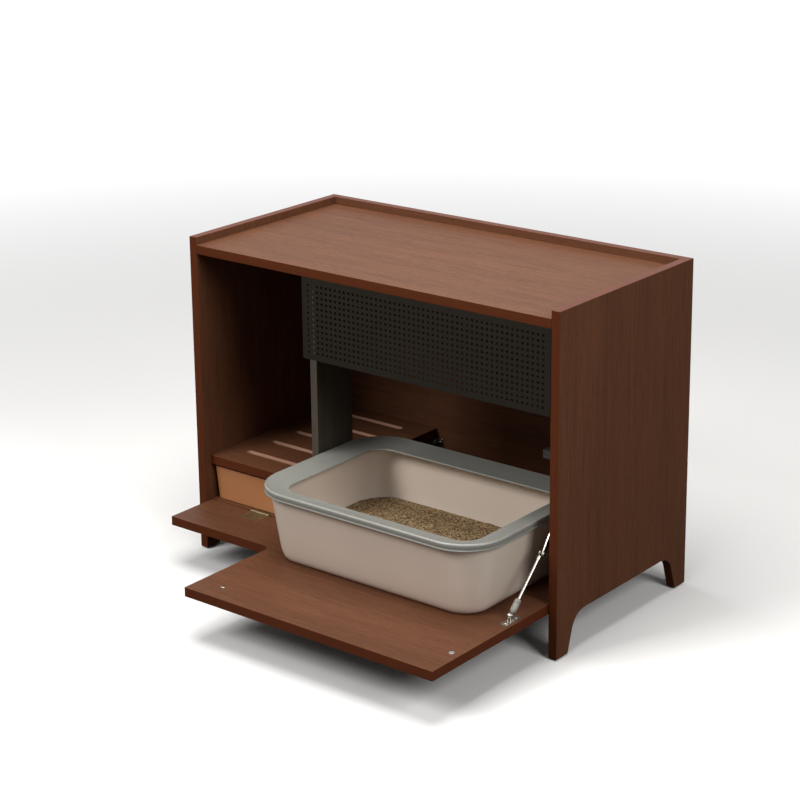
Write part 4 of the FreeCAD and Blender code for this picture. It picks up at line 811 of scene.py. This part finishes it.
class LITTERCABINET_OT_pan(PieceOperator, bpy.types.Operator):
    """Litter pan: the tub and its sloping rim"""
    bl_idname = "littercabinet.pan"
    bl_label = "Litter pan"

    def rim(self, sizes):
        low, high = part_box("pan_rim")
        top, bottom = high.z, low.z
        bead, band, wall = sizes.rim_round, sizes.rim_band, sizes.rim_wall
        lip, groove, sunk = 1.6 * MM, 0.9 * MM, 1.4 * MM
        slope = sizes.rim_drop / (band - bead)
        end = top - sizes.rim_drop
        skirt = [(0, bottom + 1.2 * MM), (groove, bottom + 2 * MM),
                 (groove, top - bead * 2.2), (0, top - bead * 1.9), (0, top - bead)]
        crest = roll(180, 90 + math.degrees(math.atan(slope)), bead, top - bead, bead)
        fall = [(inset, top - sunk - (inset - bead) * slope)
                for inset in (bead * 2.2, bead + 8 * MM, band * 0.5, band - 4 * lip)]
        fall += [(band - 2 * lip, end + 0.35 * MM)]
        inner = roll(90, 0, band - lip, end - lip, lip) + [(band, end - wall)]
        below = [(wall, bottom), (wall, top - bead - wall),
                 (bead + wall, top - wall - 0.6 * MM), (band, end - wall)]
        mesh_data = bmesh.new()
        plan = PlanShape(mesh_data, low, high, sizes.pan_corner)
        for steps in (skirt + crest + fall + inner, below):
            plan.walk(plan.start(0, bottom), 0, bottom, steps, keep_end=False)
        finished("pan_rim_band", mesh_data, ["rim"], ["pan_rim"], 40)

    def tub(self, sizes):
        low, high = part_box("pan_tub")
        top, foot, draft, wall = high.z, low.z, sizes.tub_draft, sizes.tub_wall
        bend, recess = 12 * MM, 4 * MM
        floor = foot + recess + wall
        outer = [(draft * share, top - (top - foot) * share)
                 for share in (0.06, 0.3, 0.6, 0.85)]
        outer += [(draft - 0.8 * MM, foot + bend), (draft + 1.6 * MM, foot + bend * 0.5),
                  (draft + bend * 0.5, foot + bend * 0.13), (draft + bend, foot),
                  (draft + bend + 8 * MM, foot), (draft + bend + 8.4 * MM, foot + recess)]
        inner = [(wall, top)]
        inner += [(wall + (draft + 3 * MM) * share, top - (top - floor) * share)
                  for share in (0.08, 0.35, 0.65, 0.9)]
        inner += [(wall + draft + 6 * MM, floor + 4 * MM), (wall + draft + 12 * MM, floor)]
        mesh_data = bmesh.new()
        plan = PlanShape(mesh_data, low, high, sizes.pan_corner - sizes.rim_overhang)
        for steps, up in ((outer, False), (inner, True)):
            plan.walk(plan.start(0, top, up), 0, top, steps)
        finished("pan_tub_shell", mesh_data, ["tub"], ["pan_tub"], 50)

    def execute(self, context):
        self.rim(self.sizes)
        self.tub(self.sizes)
        return {"FINISHED"}


class LITTERCABINET_OT_litter(PieceOperator, bpy.types.Operator):
    """Bed of litter in the pan, with loose grains on it"""
    bl_idname = "littercabinet.litter"
    bl_label = "Litter bed"

    def swell(self, x, y):
        """Height of the heaps at a place, from -1 to 1."""
        return 0.7 * noise.noise((x * 22, y * 22, 0)) + 0.3 * noise.noise((x * 140, y * 140, 3))

    def past_corner(self, place, middle, half):
        """A place's offset from the centre of the rounded corner that it lies in, if any."""
        past = Vector((abs(place.x - middle.x) - half.x + LITTER_CORNER,
                       abs(place.y - middle.y) - half.y + LITTER_CORNER))
        return past if min(past) > 0 else Vector((0, 0))

    def bed(self, mesh_data, low, level, middle, half):
        """The heaped surface with rounded corners, its sides and its bottom."""
        bmesh.ops.create_grid(mesh_data, x_segments=84, y_segments=60, size=1,
                              matrix=Matrix.Translation((middle.x, middle.y, level))
                              @ Matrix.Diagonal((half.x, half.y, 1, 1)))
        for vert in mesh_data.verts:
            vert.co.z += self.sizes.litter_swell * self.swell(vert.co.x, vert.co.y)
            side = vert.co - middle
            past = self.past_corner(vert.co, middle, half)
            if past.length > LITTER_CORNER:
                past *= LITTER_CORNER / past.length
                vert.co.x = middle.x + math.copysign(half.x - LITTER_CORNER + past.x, side.x)
                vert.co.y = middle.y + math.copysign(half.y - LITTER_CORNER + past.y, side.y)
        border = [edge for edge in mesh_data.edges if edge.is_boundary]
        skirt = bmesh.ops.extrude_edge_only(mesh_data, edges=border)["geom"]
        for vert in skirt:
            if isinstance(vert, bmesh.types.BMVert):
                vert.co.x = middle.x + (vert.co.x - middle.x) * (1 - LITTER_LEAN / half.x)
                vert.co.y = middle.y + (vert.co.y - middle.y) * (1 - LITTER_LEAN / half.y)
                vert.co.z = low.z
        bottom = [edge for edge in skirt if isinstance(edge, bmesh.types.BMEdge)]
        bmesh.ops.holes_fill(mesh_data, edges=bottom, sides=0)
        bmesh.ops.recalc_face_normals(mesh_data, faces=mesh_data.faces)

    def grain_tile(self):
        """A small square of grains lying every way."""
        tile = bmesh.new()
        chance = random.Random(5)
        size = self.sizes.grain_size
        for _ in range(TILE_GRAINS):
            verts = bmesh.ops.create_icosphere(tile, subdivisions=1, radius=size / 2)["verts"]
            shape = Matrix.Diagonal((1.1, chance.uniform(0.55, 0.9), 0.6, 1))
            turn = Matrix.Rotation(chance.uniform(0, math.tau), 4, "Z")
            lean = Matrix.Rotation(chance.uniform(-0.5, 0.5), 4, "X")
            spot = Matrix.Translation((chance.uniform(0, TILE_SPAN),
                                       chance.uniform(0, TILE_SPAN),
                                       chance.uniform(-0.3, 0.35) * size))
            bmesh.ops.transform(tile, verts=verts, matrix=spot @ turn @ lean @ shape)
        return as_mesh("grain_tile", tile)

    def lay_tile(self, mesh_data, tile, spot, middle, half):
        """Lay the tile's grains on the heaps, without those past a rounded corner."""
        patch = bmesh.new()
        patch.from_mesh(tile)
        patch.verts.ensure_lookup_table()
        bmesh.ops.translate(patch, verts=patch.verts, vec=spot)
        outside = []
        for first in range(0, len(patch.verts), GRAIN_POINTS):
            grain = patch.verts[first:first + GRAIN_POINTS]
            place = grain[0].co.copy()
            for vert in grain:
                vert.co.z += self.sizes.litter_swell * self.swell(place.x, place.y)
            if self.past_corner(place, middle, half).length > LITTER_CORNER - LITTER_LEAN:
                outside += grain
        bmesh.ops.delete(patch, geom=outside, context="VERTS")
        laid = as_mesh("laid_tile", patch)
        mesh_data.from_mesh(laid)
        bpy.data.meshes.remove(laid)

    def execute(self, context):
        low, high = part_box("litter_bed")
        middle, half = (low + high) / 2, (high - low) / 2
        level = high.z - self.sizes.litter_swell
        mesh_data = bmesh.new()
        self.bed(mesh_data, low, level, middle, half)
        tile = self.grain_tile()
        for row in range(round((half.y - LITTER_LEAN) * 2 / TILE_SPAN)):
            for column in range(round((half.x - LITTER_LEAN) * 2 / TILE_SPAN)):
                spot = Vector((low.x + LITTER_LEAN + column * TILE_SPAN,
                               low.y + LITTER_LEAN + row * TILE_SPAN, level))
                self.lay_tile(mesh_data, tile, spot, middle, half)
        finished("litter_grains", mesh_data, ["litter"], ["litter_bed"], 60)
        return {"FINISHED"}


class LITTERCABINET_OT_hinges(PieceOperator, bpy.types.Operator):
    """Flap hinges with their screws"""
    bl_idname = "littercabinet.hinges"
    bl_label = "Flap hinges"

    def execute(self, context):
        fine = self.sizes.small_arris
        pin = pivot("door_hinge")

        def part_of_leaf(face):
            """Index 1 on the knuckles, which are bright brass."""
            away = face.calc_center_median() - pin
            return 1 if math.hypot(away.y, away.z) < KNUCKLE_RADIUS else 0

        for node in ("door_hinge_leaves", "fixed_hinge_leaves"):
            softened(node, ["hinge", "brass"], fine, part_of_leaf)
        dress("hinge_pins", "steel")
        for node in ("door_leaf_screws", "fixed_leaf_screws"):
            screw_heads(node + "_heads", node, AXES["Z"], "steel", 2.8 * MM, 0.5 * MM)
        return {"FINISHED"}


class LITTERCABINET_OT_stay(PieceOperator, bpy.types.Operator):
    """Folding stay on the right"""
    bl_idname = "littercabinet.stay"
    bl_label = "Folding stay"

    def execute(self, context):
        fine = self.sizes.small_arris
        foot = pivot("stay_rod_pivot")
        low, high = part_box("stay_elbow_rivet")
        elbow = (low + high) / 2
        elbow.x = foot.x
        low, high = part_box("stay_damper_sleeve")
        way = (elbow - foot).normalized()
        middle = (low + high) / 2
        radius, bore = (high.x - low.x) / 2, ROD_BORE
        half = ((high.y - low.y) / 2 - radius * way.z) / way.y
        start = foot + way * ((middle - foot).dot(way) - half)
        mesh_data = bmesh.new()
        ribs = [(0.0, bore), (0.0, radius * 0.72), (1.2 * MM, radius * 0.86),
                (2.2 * MM, radius * 0.8), (3.4 * MM, radius), (half * 1.3, radius),
                (half * 1.3 + 1 * MM, radius * 0.9), (half * 1.3 + 2 * MM, radius),
                (half * 2 - 2.5 * MM, radius * 0.96), (half * 2 - 1 * MM, radius * 0.8),
                (half * 2, radius * 0.6), (half * 2, bore), (0.0, bore)]
        turned(mesh_data, ribs, start, way, 28)
        finished("damper_sleeve_ribbed", mesh_data, ["sleeve"], ["stay_damper_sleeve"], 40)
        for node in ("stay_lower_rod", "stay_elbow_rivet", "stay_foot_plate",
                     "stay_foot_pin", "stay_wall_pin"):
            softened(node, ["steel"], fine)
        softened("stay_wall_bracket", ["black_metal"], fine)
        # Painted shade: the upper link is plated steel. Its faces that point to +X, towards the
        # side panel, get the black coat as painted shade and painted dark reflection.
        softened("stay_upper_link", ["steel", "black_metal"], fine,
                 lambda face: 1 if face.normal.x > 0.5 else 0)
        for node, outward in (("stay_foot_screw", AXES["Z"]), ("stay_wall_screw", -AXES["X"])):
            screw_heads(node + "_heads", node + "s", outward, "steel", 3 * MM, 1.4 * MM)
        return {"FINISHED"}


class LITTERCABINET_OT_catch(PieceOperator, bpy.types.Operator):
    """Magnetic catch, its strike disc and the knob with its bolt"""
    bl_idname = "littercabinet.catch"
    bl_label = "Catch and knob"

    def execute(self, context):
        softened("catch_case", ["black_plastic"], 1.2 * MM)
        softened("catch_magnet", ["magnet"], self.sizes.small_arris)
        mesh_data = bmesh.new()
        lathe(mesh_data, *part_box("strike_disc"), STRIKE_DISC, 32)
        finished("strike_disc_turned", mesh_data, ["zinc"], ["strike_disc"])
        mesh_data = bmesh.new()
        lathe(mesh_data, *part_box("door_knob"), KNOB, 40, down=True)
        finished("door_knob_turned", mesh_data, ["hinge"], ["door_knob"], 40)
        screw_heads("knob_bolt_turned", "knob_bolt", AXES["Z"], "steel", 4 * MM, 1.2 * MM)
        return {"FINISHED"}


class LITTERCABINET_OT_fasteners(PieceOperator, bpy.types.Operator):
    """Glides, dowels, cams, screws and the corner bracket"""
    bl_idname = "littercabinet.fasteners"
    bl_label = "Fasteners and glides"

    def execute(self, context):
        mesh_data = bmesh.new()
        for low, high in islands("foot_glides"):
            lathe(mesh_data, low, high, GLIDE, 32)
        finished("foot_glides_turned", mesh_data, ["black_plastic"], ["foot_glides"])
        for node, key in (("carcass_dowels", "beech"), ("step_and_fin_dowels", "beech"),
                          ("cam_bolts", "steel"), ("cam_discs", "zinc")):
            dress(node, key)
        softened("corner_bracket", ["steel"], self.sizes.small_arris)
        dress("corner_screws", "steel")
        screw_heads("back_screw_heads", "back_panel_screws", AXES["Y"], "black_metal",
                    4.2 * MM, 0.6 * MM)
        screw_heads("grille_screw_heads", "grille_screws", -AXES["Z"], "black_metal",
                    3.4 * MM, 1.8 * MM)
        return {"FINISHED"}


class LITTERCABINET_OT_stage(PieceOperator, bpy.types.Operator):
    """Floor, soft light and the camera"""
    bl_idname = "littercabinet.stage"
    bl_label = "Studio"

    def floor(self):
        mesh_data = bmesh.new()
        bmesh.ops.create_grid(mesh_data, x_segments=1, y_segments=1, size=30)
        mesh = as_mesh("floor", mesh_data)
        recipe = Recipe("floor", Roughness=0.9, Specular_IOR_Level=0.1, Emission_Strength=1.0)
        here = recipe.place((1, 1, 1))
        cloud = recipe.noise(here, 0.6, 2.0)
        seen = recipe.blend(cloud, (0.93, 0.93, 0.93), (0.97, 0.97, 0.97))
        watched = recipe.node("ShaderNodeLightPath", output="Is Camera Ray")
        reach = recipe.node("ShaderNodeVectorMath", {"operation": "LENGTH"}, {0: here},
                            "Value")
        far = recipe.ramp(reach * (1 / FLOOR_REACH), [(0.28, 0.0), (1.0, 1.0)]) * watched
        near = recipe.blend(watched, (0.12, 0.11, 0.10), seen)
        recipe.feed("Base Color", recipe.blend(far, near, (0.0, 0.0, 0.0)))
        recipe.feed("Emission Color", recipe.blend(far, (0.0, 0.0, 0.0), (1.0, 1.0, 1.0)))
        mesh.materials.append(recipe.material)
        placed("floor", mesh)

    def lamp(self, name, place, side, tone, strength):
        data = bpy.data.lights.new(name, "AREA")
        data.shape = "RECTANGLE"
        data.size = data.size_y = side
        data.energy = strength
        data.color = tone
        made = placed(name, data)
        made.location = place
        made.rotation_euler = (LAMP_AIM - Vector(place)).to_track_quat("-Z", "Y").to_euler()

    def sky(self, strength):
        world = bpy.data.worlds.new("studio")
        world.use_nodes = True
        tree = world.node_tree
        back = tree.nodes["Background"]
        white = tree.nodes.new("ShaderNodeBackground")
        for shader, power in ((back, strength), (white, 1.0)):
            shader.inputs["Color"].default_value = (1, 1, 1, 1)
            shader.inputs["Strength"].default_value = power
        rays = tree.nodes.new("ShaderNodeLightPath")
        seen = tree.nodes.new("ShaderNodeMath")
        seen.operation = "MAXIMUM"
        mix = tree.nodes.new("ShaderNodeMixShader")
        link = tree.links.new
        link(rays.outputs["Is Camera Ray"], seen.inputs[0])
        link(rays.outputs["Is Glossy Ray"], seen.inputs[1])
        link(seen.outputs[0], mix.inputs[0])
        link(back.outputs[0], mix.inputs[1])
        link(white.outputs[0], mix.inputs[2])
        link(mix.outputs[0], tree.nodes["World Output"].inputs["Surface"])
        bpy.context.scene.world = world

    def camera(self, studio):
        data = bpy.data.cameras.new("photo_view")
        data.sensor_width = 36
        data.sensor_fit = "HORIZONTAL"
        data.lens = studio.lens
        data.shift_x, data.shift_y = studio.shift_x, studio.shift_y
        data.clip_end = 100
        made = placed("photo_view", data)
        aim = Vector(studio.look).to_track_quat("-Z", "Y").to_matrix().to_4x4()
        made.matrix_world = (Matrix.Translation(studio.eye) @ aim
                             @ Matrix.Rotation(-studio.roll, 4, "Z"))
        bpy.context.scene.camera = made

    def execute(self, context):
        studio = context.scene.studio_settings
        self.floor()
        for name, place, side, tone in LAMPS:
            self.lamp(name, place, side, tone, getattr(studio, name))
        self.sky(studio.sky)
        self.camera(studio)
        context.scene.view_settings.view_transform = "Standard"
        return {"FINISHED"}


PIECES = (LITTERCABINET_OT_carcass, LITTERCABINET_OT_door, LITTERCABINET_OT_step,
          LITTERCABINET_OT_grille, LITTERCABINET_OT_tray, LITTERCABINET_OT_pan,
          LITTERCABINET_OT_litter, LITTERCABINET_OT_hinges, LITTERCABINET_OT_stay,
          LITTERCABINET_OT_catch, LITTERCABINET_OT_fasteners, LITTERCABINET_OT_stage)


class LITTERCABINET_PT_panel(bpy.types.Panel):
    """Buttons for each group of pieces"""
    bl_idname = "LITTERCABINET_PT_panel"
    bl_label = "Litter cabinet"
    bl_space_type = "VIEW_3D"
    bl_region_type = "UI"
    bl_category = "Litter cabinet"

    def draw(self, context):
        column = self.layout.column(align=True)
        for piece in PIECES:
            column.operator(piece.bl_idname)


GROUPS = {"cabinet_sizes": CabinetSizes, "cabinet_colours": CabinetColours,
          "studio_settings": StudioSettings}


def register():
    for kind in (*GROUPS.values(), *PIECES, LITTERCABINET_PT_panel):
        bpy.utils.register_class(kind)
    for name, kind in GROUPS.items():
        setattr(bpy.types.Scene, name, bpy.props.PointerProperty(type=kind))


def unregister():
    for name in GROUPS:
        delattr(bpy.types.Scene, name)
    for kind in reversed((*GROUPS.values(), *PIECES, LITTERCABINET_PT_panel)):
        bpy.utils.unregister_class(kind)


def main():
    register()
    prepare_materials()
    for piece in PIECES:
        category, name = piece.bl_idname.split(".")
        getattr(getattr(bpy.ops, category), name)()


if __name__ == "__main__":
    main()
